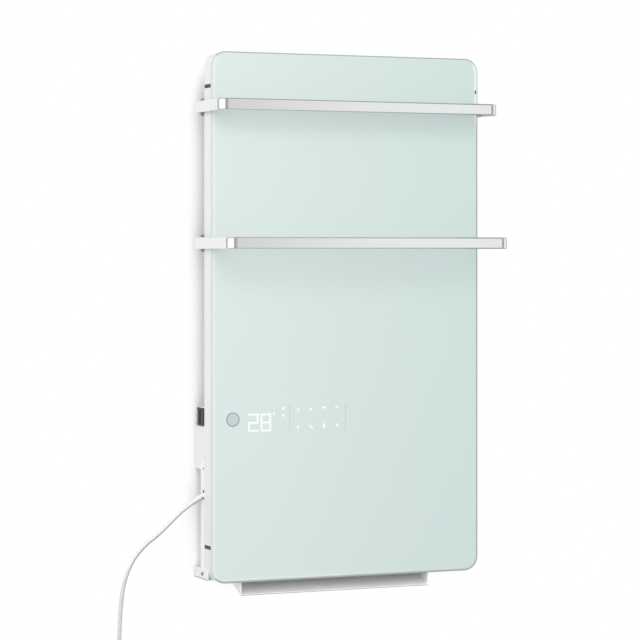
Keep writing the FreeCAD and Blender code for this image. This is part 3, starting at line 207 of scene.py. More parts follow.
# Mains lead: the route of the free stretch, then the put-away coil, whose turns cross to a second layer
leadSettings = {
    "radius": 0.0035, "exit": (-0.26716, -0.038, -0.56666), "second": (-0.28242, -0.038, -0.57620),
    "route": ((-0.302, -0.037, -0.594), (-0.326, -0.035, -0.617), (-0.350, -0.032, -0.6345),
              (-0.372, -0.0285, -0.661), (-0.3865, -0.025, -0.700), (-0.3905, -0.022, -0.750),
              (-0.392, -0.0205, -0.802)),
    "dropX": -0.392, "dropY": -0.0205, "coilMiddleZ": -0.856, "coilMean": 0.042, "turnPitch": 0.0076,
    "layerPitch": 0.0078, "turns": 4, "crossing": 0.25, "pointsPerTurn": 24, "leadIn": 0.008,
    "leadOut": 0.030, "length": 1.425, "steps": 16, "roundSteps": 8}


def coilRadius(settings, turn):
    crossing = settings["crossing"]
    away = abs(turn - settings["turns"] / 2)
    if away < crossing:
        away = crossing / 2 + away ** 2 / (2 * crossing)
    return settings["coilMean"] + settings["turnPitch"] * (away - settings["turns"] / 4)


def coilPoint(settings, turn):
    angle = math.pi + turn * 2 * math.pi
    crossing = settings["crossing"]
    share = min(max((turn - settings["turns"] / 2 + crossing) / (2 * crossing), 0.0), 1.0)
    radius = coilRadius(settings, turn)
    x = settings["dropX"] + coilRadius(settings, 0.0) + radius * math.cos(angle)
    y = settings["dropY"] - settings["layerPitch"] * share * share * (3 - 2 * share)
    return Vector((x, y, settings["coilMiddleZ"] + radius * math.sin(angle)))


def leadPoints(settings):
    points = [Vector(settings["exit"]), Vector(settings["second"])]
    points += [Vector(point) for point in settings["route"]]
    first = coilPoint(settings, 0.0)
    points.append(first + Vector((0.0, 0.0, settings["leadIn"])))
    count = settings["turns"] * settings["pointsPerTurn"]
    points += [coilPoint(settings, index / settings["pointsPerTurn"]) for index in range(count + 1)]
    last = points[-1]
    points.append(last - Vector((0.0, 0.0, settings["leadOut"] / 2)))
    points.append(last - Vector((0.0, 0.0, settings["leadOut"])))
    return points


def newLine(name, kind, points):
    curve = bpy.data.curves.new(name, "CURVE")
    curve.dimensions = "3D"
    spline = curve.splines.new(kind)
    spline.points.add(len(points) - 1)
    for place, point in zip(spline.points, points):
        place.co = (*point, 1.0)
    return curve


def makeLead(settings, material):
    curve = newLine("mainsLead", "NURBS", leadPoints(settings))
    spline = curve.splines[0]
    spline.order_u = 3
    spline.use_endpoint_u = True
    spline.resolution_u = settings["steps"]
    curve.bevel_depth = settings["radius"]
    curve.bevel_resolution = settings["roundSteps"]
    curve.use_fill_caps = True
    curve.materials.append(material)
    return newObject("mainsLead", curve)


# Finishes: a noise is its scale and detail, a colour its display levels, a roughness its middle and spread
# the lead's colours: a painted shade underneath and a lighter top, ramped by which way the surface faces
leadFinish = {"mottle": (160.0, 4.0), "shadedUnderside": (168, 168, 167), "upper": (240, 240, 239), "tilt": (-0.6, 0.5),
              "rough": (0.50, 0.08), "shine": 0.3}


def makeLeadSheath(settings):  # painted shade: darker on its underside and lighter on top, by which way the surface faces
    finish = Finish("leadSheath")
    upward = finish.axes(finish.add("ShaderNodeNewGeometry", out="Normal"))[2]
    return finish.surface({
        "Base Color": finish.blend(upward.ramp(*settings["tilt"]), settings["shadedUnderside"], settings["upper"]),
        "Roughness": finish.noise(*settings["mottle"]).around(*settings["rough"]),
        "Specular IOR Level": settings["shine"]})


leadSheath = makeLeadSheath(leadFinish)
lead = makeLead(leadSettings, leadSheath)
print("lead laid:", len(lead.data.splines[0].points), "points")


powder = {"grain": (900.0, 2.0), "cloud": (9.0, 3.0), "spread": 0.12, "shine": 0.45, "bump": (0.05, 0.0003)}
moulded = {"grain": (2200.0, 2.0), "cloud": (14.0, 4.0), "spread": 0.12, "shine": 0.5, "bump": (0.08, 0.0002)}


def makeCoat(settings, name, colour, deep, rough, foot=None):  # foot: heights over which it darkens towards the bottom as painted shade, and the darker grey
    finish = Finish(name)
    grain = finish.noise(*settings["grain"])
    paint = finish.blend(finish.noise(*settings["cloud"]), deep, colour)
    if foot:
        low, high, grey = foot
        paint = finish.blend(finish.axes()[2].ramp(low, high), (grey, grey, grey), paint)
    return finish.surface({"Base Color": paint, "Roughness": grain.around(rough, settings["spread"]),
                           "Specular IOR Level": settings["shine"],
                           "Normal": finish.bump(grain, *settings["bump"])})


# painted shade of the outlet scoop: the colour of its closed-in throat and the grey at the foot of its lip
scoopFinish = {"grain": (2200.0, 2.0), "reach": 0.05, "samples": 16, "open": (0.02, 0.45),
               "throatShade": (220, 221, 221), "unshaded": (249, 249, 249), "lip": (-0.72344, -0.7228),
               "lipShade": (150, 150, 150), "rough": (0.44, 0.12), "shine": 0.5, "bump": (0.08, 0.0002)}


def makeScoopPlastic(settings):  # painted shade: darker in the throat, where ambient occlusion finds it closed in, and a grey band at the foot of the lip
    finish = Finish("scoopPlastic")
    grain = finish.noise(*settings["grain"])
    unshaded = finish.openness(settings["reach"], settings["samples"]).ramp(*settings["open"])
    colour = finish.blend(unshaded, settings["throatShade"], settings["unshaded"])
    above = finish.axes()[2].ramp(*settings["lip"])
    return finish.surface({"Base Color": finish.blend(above, settings["lipShade"], colour),
                           "Roughness": grain.around(*settings["rough"]),
                           "Specular IOR Level": settings["shine"],
                           "Normal": finish.bump(grain, *settings["bump"])})


# the rocker's black and the colour of its painted highlight band at the rear
rockerFinish = {"grain": (2400.0, 2.0), "band": (-0.0261, -0.0249), "black": (28, 28, 29),
                "paintedHighlight": (144, 144, 144), "rough": (0.42, 0.12), "shine": 0.5}


def makeRockerPlastic(settings):  # black, with a lighter band at its rear end: a painted highlight where the raised rear half catches the light
    finish = Finish("rockerPlastic")
    rear = finish.axes()[1].ramp(*settings["band"])
    return finish.surface({"Base Color": finish.blend(rear, settings["black"], settings["paintedHighlight"]),
                           "Roughness": finish.noise(*settings["grain"]).around(*settings["rough"]),
                           "Specular IOR Level": settings["shine"]})


drawn = {"streak": (1.0, 5.0, 0.62), "fine": (4.0, 2.0), "spread": 0.10, "depth": 0.0001}


def makeDrawnMetal(settings, name, colour, deep, stretch, rough, bump):  # streaks lie along the short scales
    finish = Finish(name)
    place = finish.add("ShaderNodeMapping", values={"Vector": finish.place(), "Scale": stretch})
    streak = finish.noise(*settings["streak"], place=place)
    fine = finish.noise(*settings["fine"], place=place)
    return finish.surface({"Base Color": finish.blend(streak, deep, colour), "Metallic": 1.0,
                           "Roughness": fine.around(rough, settings["spread"]),
                           "Normal": finish.bump(streak, bump, settings["depth"])})


zincFinish = {"flakes": 240.0, "cloud": (60.0, 4.0), "dark": (176, 180, 184), "pale": (222, 224, 225),
              "rough": (0.38, 0.16), "bump": (0.05, 0.0002)}


def makeZinc(settings):
    finish = Finish("zincPlate")
    flakes = finish.add("ShaderNodeTexVoronoi", values={"Vector": finish.place(), "Scale": settings["flakes"]},
                        out="Color")
    cloud = finish.noise(*settings["cloud"])
    shade = (finish.axes(flakes)[0] + cloud) / 2.0
    return finish.surface({"Base Color": finish.blend(shade, settings["dark"], settings["pale"]),
                           "Metallic": 1.0, "Roughness": cloud.around(*settings["rough"]),
                           "Normal": finish.bump(shade, *settings["bump"])})


speckled = {"fine": (6.0, 0.7), "coarser": 12.0, "coarseDetail": 3.0, "fineShare": 1.6, "coarseShare": 0.6,
            "spread": 0.16, "bump": (0.12, 0.0003)}


def makeSpeckled(settings, name, colour, deep, scale, rough, metal=0.0):
    finish = Finish(name)
    speckle = finish.noise(scale, *settings["fine"])
    coarse = finish.noise(scale / settings["coarser"], settings["coarseDetail"])
    share = speckle * settings["fineShare"] + (coarse - 1.0) * settings["coarseShare"]
    return finish.surface({"Base Color": finish.blend(share, deep, colour), "Metallic": metal,
                           "Roughness": speckle.around(rough, settings["spread"]),
                           "Normal": finish.bump(speckle, *settings["bump"])})


boardFinish = {"scale": 90.0, "gap": 0.035, "shift": 0.37, "squash": 1.7, "every": 3, "mask": (18, 84, 50),
               "paleMask": (24, 96, 58), "track": (46, 128, 82), "rough": (0.39, -0.14), "bump": (0.3, 0.0001)}


def makeCircuitBoard(settings):
    finish = Finish("circuitBoard")
    x, _, z = finish.axes()
    flat = finish.add("ShaderNodeCombineXYZ", values={"X": x, "Y": z})
    tracks = finish.add("ShaderNodeTexBrick", {"offset": settings["shift"], "squash": settings["squash"],
                                               "squash_frequency": settings["every"]},
                        {"Vector": flat, "Scale": settings["scale"], "Mortar Size": settings["gap"],
                         "Color1": linear(*settings["mask"]), "Color2": linear(*settings["paleMask"]),
                         "Mortar": linear(*settings["track"])}, out="Color")
    copper = tracks.output("Fac")
    return finish.surface({"Base Color": tracks, "Roughness": copper.around(*settings["rough"]),
                           "Normal": finish.bump(copper, *settings["bump"])})


filmFinish = {"windings": 62.0, "edge": (0.16, 0.20), "track": (92, 84, 70), "film": (40, 40, 43),
              "rough": (0.56, -0.12), "bump": (0.2, 0.0002)}


def makeHeatingFilm(settings):
    finish = Finish("heatingFilm")
    winding = abs((finish.axes()[2] * settings["windings"]).math("FRACT") - 0.5)
    between = winding.ramp(*settings["edge"])
    return finish.surface({"Base Color": finish.blend(between, settings["track"], settings["film"]),
                           "Roughness": between.around(*settings["rough"]),
                           "Normal": finish.bump(between, *settings["bump"])})


# Pale glass with a polished border and a dark rim, which differ from side to side as painted light and shade;
# the body is painted lighter on the left and darker on the right
glassSettings = {"halfWidth": 0.250, "halfHeight": 0.450, "middleZ": -0.250, "corner": 0.025, "back": 0.081,
                 "front": 0.086, "arris": 0.0012, "eased": ((1.5, 0.0), (1.0, 0.0), (0.3, 0.3), (0.0, 1.0)),
                 "cornerSteps": 20, "smooth": 60.0}
glassFinish = {
    "sideEdge": 0.006, "halfEdge": 0.01, "upperFrom": (0.05, 0.12),
    "border": (0.00528, 0.00792), "leftBorder": 0.5, "upperBorder": 1.4, "footBorder": 0.3,
    "bright": (228, 241, 237),
    "rim": 0.0024, "rimEdge": 0.0006, "otherRim": 0.0010, "upperRim": 0.0016, "topRim": 0.0014,
    "shadedRim": (168, 177, 175), "litRim": (205, 218, 214),
    "cloud": (5.0, 3.0), "screen": (1400.0, 2.0), "cloudShare": 0.21, "screenShare": 0.09,
    "litLeftBody": (213, 226, 223), "shadedRightBody": (206, 223, 220),
    "rough": (0.085, 0.03), "shine": 0.5, "bend": 1.52, "coat": 0.25, "coatRough": 0.03}


def makeMintGlass(panel, settings):
    finish = Finish("mintGlass")
    x, _, z = finish.axes()
    overX = abs(x) - (panel["halfWidth"] - panel["corner"])
    overZ = abs(z - panel["middleZ"]) - (panel["halfHeight"] - panel["corner"])
    outside = (overX.most(0.0) ** 2.0 + overZ.most(0.0) ** 2.0) ** 0.5
    edge = panel["corner"] - outside - overX.most(overZ).least(0.0)  # the way in from the rounded outline
    upright = (overX - overZ).ramp(-settings["sideEdge"], settings["sideEdge"])  # 1 along the two long sides
    foot = (panel["middleZ"] - z).ramp(0.0, settings["halfEdge"])
    right = x.ramp(-settings["halfEdge"], settings["halfEdge"])
    left = upright * (1.0 - right)
    upper = upright * right * z.ramp(*settings["upperFrom"])
    top = (1.0 - upright) * (1.0 - foot)
    # the polished border is real; its brightness by side is a painted highlight, strongest at the upper right,
    # then the left, faint at the bottom left, none on top or at the lower right
    sides = left * settings["leftBorder"] + upper * settings["upperBorder"]
    share = sides.most(foot * (1.0 - right) * settings["footBorder"])
    border = (1.0 - edge.ramp(*settings["border"])) * share
    # painted light and shade on the arris: a rim round the edge, dark on the top, right and bottom and pale on
    # the left where the light falls, its width set side by side
    reach = (1.0 - left) * settings["otherRim"] - upper * settings["upperRim"] - top * settings["topRim"]
    rim = 1.0 - (edge - reach - settings["rim"]).ramp(-settings["rimEdge"], settings["rimEdge"])
    screen = finish.noise(*settings["screen"])
    cloud = finish.noise(*settings["cloud"])
    uneven = (cloud - 0.5) * settings["cloudShare"] + (screen - 0.5) * settings["screenShare"]
    # painted light: the body is lighter on the left and darker on the right, as the light falls off, with uneven
    # tone laid over it
    across = x.ramp(-panel["halfWidth"], panel["halfWidth"]) + uneven
    body = finish.blend(across, settings["litLeftBody"], settings["shadedRightBody"])
    colour = finish.blend(rim, finish.blend(border, body, settings["bright"]),
                          finish.blend(left, settings["shadedRim"], settings["litRim"]))
    return finish.surface({"Base Color": colour, "Roughness": screen.around(*settings["rough"]),
                           "Specular IOR Level": settings["shine"], "IOR": settings["bend"],
                           "Coat Weight": settings["coat"], "Coat Roughness": settings["coatRough"]})


glowing = {"grain": (1800.0, 2.0), "white": (255, 255, 255), "rough": (0.35, 0.1)}
stained = {"grain": (700.0, 3.0), "spread": 0.08, "coat": 0.25, "coatRough": 0.03}


def makeGlow(settings, name, colour, strength):
    finish = Finish(name)
    grain = finish.noise(*settings["grain"])
    tint = finish.blend(grain, colour, settings["white"])
    return finish.surface({"Base Color": tint, "Roughness": grain.around(*settings["rough"]),
                           "Emission Color": tint, "Emission Strength": strength})


def makeStain(settings, name, colour, deep, rough):
    finish = Finish(name)
    grain = finish.noise(*settings["grain"])
    return finish.surface({"Base Color": finish.blend(grain, deep, colour),
                           "Roughness": grain.around(rough, settings["spread"]),
                           "Coat Weight": settings["coat"], "Coat Roughness": settings["coatRough"]})


finishes = {
    "mint_glass": makeMintGlass(glassSettings, glassFinish),
    "white_metal": makeCoat(powder, "powderCoat", (254, 254, 254), (251, 251, 251), 0.46),
    "satin_rail": makeDrawnMetal(drawn, "railBar", (238, 239, 239), (232, 233, 234), (9.0, 9.0, 2600.0),
                                 0.16, 0.03),
    "zinc_steel": makeZinc(zincFinish),
    "white_plastic": makeCoat(moulded, "whiteMoulding", (246, 246, 245), (243, 243, 242), 0.42),
    "grey_plastic": makeCoat(moulded, "greyMoulding", (128, 130, 132), (118, 120, 122), 0.48),
    "black_plastic": makeCoat(moulded, "switchBlack", (30, 30, 31), (26, 26, 27), 0.42),
    "amber_plastic": makeSpeckled(speckled, "phenolic", (190, 154, 98), (158, 122, 72), 420.0, 0.5),
    "grey_rubber": makeSpeckled(speckled, "siliconeGasket", (150, 156, 156), (132, 138, 138), 900.0, 0.68),
    "white_cord": leadSheath,
    "board_green": makeCircuitBoard(boardFinish),
    "insulation": makeSpeckled(speckled, "mineralWool", (236, 228, 208), (206, 196, 170), 700.0, 0.92),
    "heating_film": makeHeatingFilm(filmFinish),
    "bright_aluminium": makeDrawnMetal(drawn, "millAluminium", (222, 223, 224), (198, 200, 202),
                                       (12.0, 900.0, 900.0), 0.30, 0.05),
    "bronze": makeSpeckled(speckled, "sinteredBronze", (178, 140, 84), (138, 104, 60), 1500.0, 0.5, 1.0),
    "nickel_pins": makeDrawnMetal(drawn, "nickelPlate", (226, 224, 218), (212, 210, 204), (900.0, 900.0, 30.0),
                                  0.22, 0.03),
    "display_dark": makeSpeckled(speckled, "smokedCover", (52, 57, 57), (44, 48, 48), 300.0, 0.16),
}
# the frame paint darkens towards the bottom: painted shade
framePaint = makeCoat(powder, "framePaint", (247, 247, 247), (244, 244, 244), 0.46, (-0.66, -0.40, 239))
# the bracket paint has a grey band along its lower edge: a painted shadow line
bracketPaint = makeCoat(powder, "bracketPaint", (249, 249, 249), (246, 246, 246), 0.46, (-0.6952, -0.6943, 170))
scoopPlastic = makeScoopPlastic(scoopFinish)
# dark sheet colour for the air slots: painted shade
slotGauze = makeCoat(moulded, "slotGauze", (78, 78, 79), (70, 70, 71), 0.7)
# near-black colour for painted shade at small openings
darkHole = makeCoat(moulded, "darkHole", (40, 40, 41), (34, 34, 35), 0.7)
rockerPlastic = makeRockerPlastic(rockerFinish)
dullSteel = makeSpeckled(speckled, "dullSteel", (165, 164, 162), (142, 141, 139), 900.0, 0.4, 1.0)
glow = makeGlow(glowing, "digitGlow", (220, 238, 237), 0.04)
faintGlow = makeGlow(glowing, "faintGlow", (214, 230, 228), 0.0)
fieldLine = makeStain(stained, "fieldLine", (188, 200, 198), (180, 192, 190), 0.12)
sensorRing = makeStain(stained, "sensorRing", (150, 165, 164), (140, 156, 155), 0.16)
sensorLens = makeStain(stained, "sensorLens", (194, 208, 208), (188, 201, 201), 0.10)
slotOf = {row["node"]: row["material_slot"] for row in frame["record"]["subparts"]}
for name, node in nodes.items():
    node.data.materials.clear()
    node.data.materials.append(finishes[slotOf[name]])
print("finishes made:", len(bpy.data.materials))


# Pieces: copies of the nodes with merged faces, and with rounded edges where a width is given
pieceSettings = {"merge": 2e-6, "flat": 0.4, "smooth": 35.0, "roundFrom": 40.0, "roundSteps": 2}


def addPiece(name, mesh, slotName, replaced=(), body="heater", material=None):
    piece = newObject(name, mesh)
    if not mesh.materials:
        mesh.materials.append(material or finishes[slotName])
    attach(piece, body)
    if replaced:
        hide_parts(*replaced)
    return piece


def meshFrom(name, shape, angle=pieceSettings["smooth"]):
    mesh = bpy.data.meshes.new(name)
    shape.to_mesh(mesh)
    shape.free()
    mesh.shade_smooth()
    mesh.set_sharp_from_angle(angle=math.radians(angle))
    return mesh


def finalMesh(carrier):  # the mesh with its modifiers applied; the carrier goes
    view = bpy.context.evaluated_depsgraph_get()
    mesh = bpy.data.meshes.new_from_object(carrier.evaluated_get(view))
    bpy.data.objects.remove(carrier)
    return mesh


def mergedNode(name):
    shape = bmesh.new()
    shape.from_mesh(nodes[name].data)
    bmesh.ops.remove_doubles(shape, verts=shape.verts, dist=pieceSettings["merge"])
    return shape


def softEdges(mesh, width):
    carrier = newObject("carrier", mesh)
    bevel = carrier.modifiers.new("edge", "BEVEL")
    bevel.width = width
    bevel.segments = pieceSettings["roundSteps"]
    bevel.limit_method = "ANGLE"
    bevel.angle_limit = math.radians(pieceSettings["roundFrom"])
    bevel.harden_normals = True
    return finalMesh(carrier)


def smoothCopy(name, pieceName, width=0.0, material=None):
    shape = mergedNode(name)
    bmesh.ops.dissolve_limit(shape, angle_limit=math.radians(pieceSettings["flat"]), verts=shape.verts,
                             edges=shape.edges)
    mesh = meshFrom(pieceName, shape)
    if width:
        mesh = softEdges(mesh, width)
    return addPiece(pieceName, mesh, slotOf[name], (name,), nodes[name]["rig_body"], material)


housingPieces = (
    ("fan_box", "fanBoxShell"), ("switch_box", "switchBoxShell", 0.0012), ("inlet_grille", "inletGrille"),
    ("outlet_grille", "outletGrille"), ("wall_plate", "wallPlate", 0.0003), ("hanger", "wallHanger", 0.0003),
    ("upper_rail_standoffs", "upperRailBlocks", 0.0006), ("lower_rail_standoffs", "lowerRailBlocks", 0.0006),
    ("switch_body", "switchFrame", 0.0005), ("front_frame", "frameShell", 0.0, framePaint),
    ("rear_cover", "rearShell", 0.0, framePaint), ("left_bracket", "leftBracket", 0.0004, bracketPaint),
    ("right_bracket", "rightBracket", 0.0004, bracketPaint), ("rocker", "switchRocker", 0.0007, rockerPlastic),
    ("outlet_scoop", "outletScoop", 0.0006, scoopPlastic))
for row in housingPieces:
    smoothCopy(*row)
print("housing copied:", len(housingPieces))


# Built shapes: a closed skin over rings of places, where a ring of one place is a pole
def skin(shape, rings):
    made = [[shape.verts.new(place) for place in ring] for ring in rings]
    count = max(len(ring) for ring in made)
    for lower, upper in zip(made, made[1:]):
        for index in range(count):
            after = (index + 1) % count
            corners = [ring[place % len(ring)] for ring, place in
                       ((lower, index), (lower, after), (upper, after), (upper, index))]
            shape.faces.new(list(dict.fromkeys(corners)))
    for ring in (made[0], made[-1]):
        if len(ring) > 1:
            shape.faces.new(ring)
    bmesh.ops.recalc_face_normals(shape, faces=shape.faces)


def roundTurns(steps):
    return [2 * math.pi * step / steps for step in range(steps)]


def roundedOutline(halfWide, halfHigh, corner, steps, inset=0.0):
    places = []
    for quarter, (signX, signZ) in enumerate(((1, 1), (-1, 1), (-1, -1), (1, -1))):
        for step in range(steps + 1):
            angle = math.radians(90.0 * quarter + 90.0 * step / steps)
            places.append((signX * (halfWide - corner) + (corner - inset) * math.cos(angle),
                           signZ * (halfHigh - corner) + (corner - inset) * math.sin(angle)))
    return places


# Dark strips set in the four air slots: painted shade standing in for the dark inside of the slots
slotShadeSettings = {"x": 0.2483, "thickness": 0.0010, "middle": 0.0630, "halfDepth": 0.0150, "halfHeight": 0.00325,
                 "corner": 0.0006, "rises": (0.1417, -0.6403), "steps": 3}


def makeSlotShade(settings):
    shape = bmesh.new()
    outline = roundedOutline(*(settings[key] for key in ("halfDepth", "halfHeight", "corner", "steps")))
    for rise in settings["rises"]:
        for side in (-1, 1):
            skin(shape, [[(side * x, -(settings["middle"] + depth), rise + height) for depth, height in outline]
                         for x in (settings["x"], settings["x"] - settings["thickness"])])
    addPiece("slotGauze", meshFrom("slotGauze", shape), "black_plastic", material=slotGauze)


def makeGlass(settings):
    arris = settings["arris"]
    rings = [(arris * inset, settings["back"] + arris * rise) for inset, rise in settings["eased"]]
    rings += [(arris * inset, settings["front"] - arris * rise) for inset, rise in settings["eased"][::-1]]
    sizes = [settings[key] for key in ("halfWidth", "halfHeight", "corner", "cornerSteps")]
    shape = bmesh.new()
    skin(shape, [[(x, -depth, settings["middleZ"] + z) for x, z in roundedOutline(*sizes, inset)]
                 for inset, depth in rings])
    addPiece("glassPanel", meshFrom("glassPanel", shape, settings["smooth"]), "mint_glass", ("glass_front",))


makeSlotShade(slotShadeSettings)
makeGlass(glassSettings)
print("gauze and glass made")


# Geometry Nodes trees: named inputs, set by identifier on the modifier
class Shaper(NodeMaker):
    def __init__(self, name, inputs):
        super().__init__(bpy.data.node_groups.new(name, "GeometryNodeTree"))
        face = self.tree.interface
        face.new_socket("Geometry", in_out="OUTPUT", socket_type="NodeSocketGeometry")
        face.new_socket("Geometry", in_out="INPUT", socket_type="NodeSocketGeometry")
        self.keys = {}
        for label, kind in inputs.items():
            socket = face.new_socket(label, in_out="INPUT", socket_type="NodeSocket" + kind)
            self.keys[label] = socket.identifier
        self.entry = self.add("NodeGroupInput")

    def get(self, label):
        return self.entry.output(label)

    def close(self, geometry):
        whole = self.add("GeometryNodeRealizeInstances", values={"Geometry": geometry})
        painted = self.add("GeometryNodeSetMaterial", values={"Geometry": whole, "Material": self.get("Finish")})
        self.add("NodeGroupOutput", values={"Geometry": painted})

    def shape(self, name, data, values):  # runs the tree on data, gives a plain mesh
        carrier = newObject(name, data)
        modifier = carrier.modifiers.new("tree", "NODES")
        modifier.node_group = self.tree
        for label, value in values.items():
            modifier[self.keys[label]] = value
        mesh = finalMesh(carrier)
        mesh.name = name
        return mesh


# Towel rails: one flat bar swept round the panel
railSettings = {
    "half": 0.259, "thickness": 0.006, "height": 0.0195, "bend": 0.016, "edge": 0.0026, "wallGap": 0.016,
    "footLength": 0.054, "bendSteps": 14, "edgeSteps": 5, "smooth": 50.0,
    "rails": (("upperRail", "upper_towel_rail", 0.1523, 0.1075),
              ("lowerRail", "lower_towel_rail", 0.1934, -0.1244))}


def makeBarTree(settings):
    tree = Shaper("flatBar", {"Height": "Float", "Thickness": "Float", "Bend": "Float", "Edge": "Float",
                              "Finish": "Material"})

    def rounded(curve, radius, steps):
        return tree.add("GeometryNodeFilletCurve", {"mode": "POLY"},
                        {"Curve": curve, "Radius": tree.get(radius), "Count": steps, "Limit Radius": True})

    path = rounded(tree.get("Geometry"), "Bend", settings["bendSteps"])
    upright = tree.add("GeometryNodeSetCurveNormal", {"mode": "Z_UP"}, {"Curve": path})
    section = tree.add("GeometryNodeCurvePrimitiveQuadrilateral", {"mode": "RECTANGLE"},
                       {"Width": tree.get("Thickness"), "Height": tree.get("Height")})
    eased = rounded(section, "Edge", settings["edgeSteps"])
    tree.close(tree.add("GeometryNodeCurveToMesh", values={"Curve": upright, "Profile Curve": eased,
                                                           "Fill Caps": True}))
    return tree


def makeRails(settings):
    tree = makeBarTree(settings)
    middle = settings["thickness"] / 2
    side = settings["half"] - middle
    foot = settings["half"] - settings["footLength"]
    back = -(settings["wallGap"] + middle)
    for name, node, front, rise in settings["rails"]:
        ahead = -(front - middle)
        route = ((-foot, back), (-side, back), (-side, ahead), (side, ahead), (side, back), (foot, back))
        line = newLine(name, "POLY", [(x, y, rise) for x, y in route])
        bar = tree.shape(name, line, {"Height": settings["height"], "Thickness": settings["thickness"],
                                      "Bend": settings["bend"] - middle, "Edge": settings["edge"],
                                      "Finish": finishes["satin_rail"]})
        shape = bmesh.new()
        shape.from_mesh(bar)
        bmesh.ops.recalc_face_normals(shape, faces=shape.faces)
        rail = addPiece(name, meshFrom(name, shape, settings["smooth"]), "satin_rail", (node,))
        print("rail", name, [round(size, 4) for size in rail.dimensions])


makeRails(railSettings)
print("rails swept")


# Screws: one cross-slotted head and shank, set at each screw of a node; axis 0 points them to both sides
screwSettings = {"rise": 0.63, "shank": 0.42, "domeFrom": 15.0, "domeSteps": 6, "turnSteps": 28,
                 "slotWidth": 0.24, "slotReach": 0.62, "slotDepth": 0.55}


def islandBoxes(name):  # the box of each loose solid in a node
    shape = mergedNode(name)
    boxes = []
    waiting = set(shape.verts)
    while waiting:
        group = [waiting.pop()]
        seen = set(group)
        while group:
            vert = group.pop()
            for edge in vert.link_edges:
                other = edge.other_vert(vert)
                if other not in seen:
                    seen.add(other)
                    group.append(other)
        waiting -= seen
        boxes.append([(min(v.co[axis] for v in seen), max(v.co[axis] for v in seen)) for axis in range(3)])
    shape.free()
    return boxes


def makeScrewHead(settings, head, height, length):  # head above z = 0, shank below
    shank, reach = head * settings["shank"], length - height
    profile = [(0.0, -reach), (shank, -reach), (shank, 0.0), (head, 0.0)]
    start, steps = settings["domeFrom"], settings["domeSteps"]
    for step in range(steps):
        angle = math.radians(start + (90.0 - start) * step / steps)
        profile.append((head * math.cos(angle), height * math.sin(angle)))
    profile.append((0.0, height))
    turns = roundTurns(settings["turnSteps"])
    shape = bmesh.new()
    skin(shape, [[(radius * math.cos(turn), radius * math.sin(turn), z)
                  for turn in (turns if radius else turns[:1])] for radius, z in profile])
    blank = newObject("screwBlank", meshFrom("screwBlank", shape))
    cross = bmesh.new()
    reach, width = head * settings["slotReach"], head * settings["slotWidth"] / 2
    for x, y in ((reach, width), (width, reach)):
        bar = bmesh.ops.create_cube(cross, size=2.0)["verts"]
        bmesh.ops.scale(cross, vec=(x, y, height * settings["slotDepth"]), verts=bar)
        bmesh.ops.translate(cross, vec=(0.0, 0.0, height), verts=bar)
    cutter = newObject("crossCutter", meshFrom("crossCutter", cross))
    cut = blank.modifiers.new("cross", "BOOLEAN")
    cut.operation = "DIFFERENCE"
    cut.object = cutter
    cut.use_self = True
    mesh = finalMesh(blank)
    bpy.data.objects.remove(cutter)
    return mesh


def makeScrewTree():
    tree = Shaper("screwsAtPoints", {"Screw": "Object", "Turn": "Rotation", "Finish": "Material"})
    screw = tree.add("GeometryNodeObjectInfo", values={"Object": tree.get("Screw")}, out="Geometry")
    points = tree.add("GeometryNodeMeshToPoints", values={"Mesh": tree.get("Geometry")})
    tree.close(tree.add("GeometryNodeInstanceOnPoints", values={"Points": points, "Instance": screw,
                                                                "Rotation": tree.get("Turn")}))
    return tree


def makeScrews(tree, settings, node, name, axis=1, finish=finishes["zinc_steel"]):
    across = 1 - axis
    groups = {}
    for limits in islandBoxes(node):
        head = round((limits[across][1] - limits[across][0]) / 2, 5)
        sign = -1 if axis == 0 and limits[0][0] < 0 else 1
        key = (head, round(limits[axis][1] - limits[axis][0], 5), sign)
        groups.setdefault(key, []).append(limits)
    joined = bmesh.new()
    for (head, length, sign), members in groups.items():
        height = head * settings["rise"]
        screw = newObject("screw", makeScrewHead(settings, head, height, length))
        places = []
        for limits in members:
            point = [(low + high) / 2 for low, high in limits]
            point[axis] = limits[axis][1 if sign > 0 else 0] - sign * height
            places.append(point)
        cloud = bpy.data.meshes.new("screwPlaces")
        cloud.from_pydata(places, [], [])
        lean = math.radians(90.0 * sign)
        turn = (-lean, 0.0, 0.0) if axis == 1 else (0.0, lean, 0.0)
        joined.from_mesh(tree.shape(name, cloud, {"Screw": screw, "Turn": turn, "Finish": finish}))
        bpy.data.objects.remove(screw)
    addPiece(name, meshFrom(name, joined), "zinc_steel", (node,), material=finish)


screwTree = makeScrewTree()
for node, name in (("cover_screws", "coverScrews"), ("hanger_screws", "hangerScrews"),
                   ("rail_screws", "railScrews"), ("fan_box_screws", "fanBoxScrews"),
                   ("switch_box_screws", "switchBoxScrews")):
    makeScrews(screwTree, screwSettings, node, name)
makeScrews(screwTree, screwSettings, "bracket_screws", "bracketScrews", 0, dullSteel)
print("screws set")


# Lead sleeve: ribbed, tapering, falling from the side of the fan box; its flange is radius and rise
sleeveSettings = {"point": (-0.2485, -0.038, -0.555), "fall": 32.0, "start": 0.0006, "length": 0.022,
                  "rootRadius": 0.0052, "tipRadius": 0.0041, "ribs": 5, "ribDepth": 0.0005, "ribPower": 3.0,
                  "steps": 61, "turnSteps": 32, "smooth": 60.0, "flangeSteps": 40,
                  "flange": ((0.0058, 0.0), (0.0058, 0.0013), (0.00559, 0.00179), (0.0051, 0.002))}


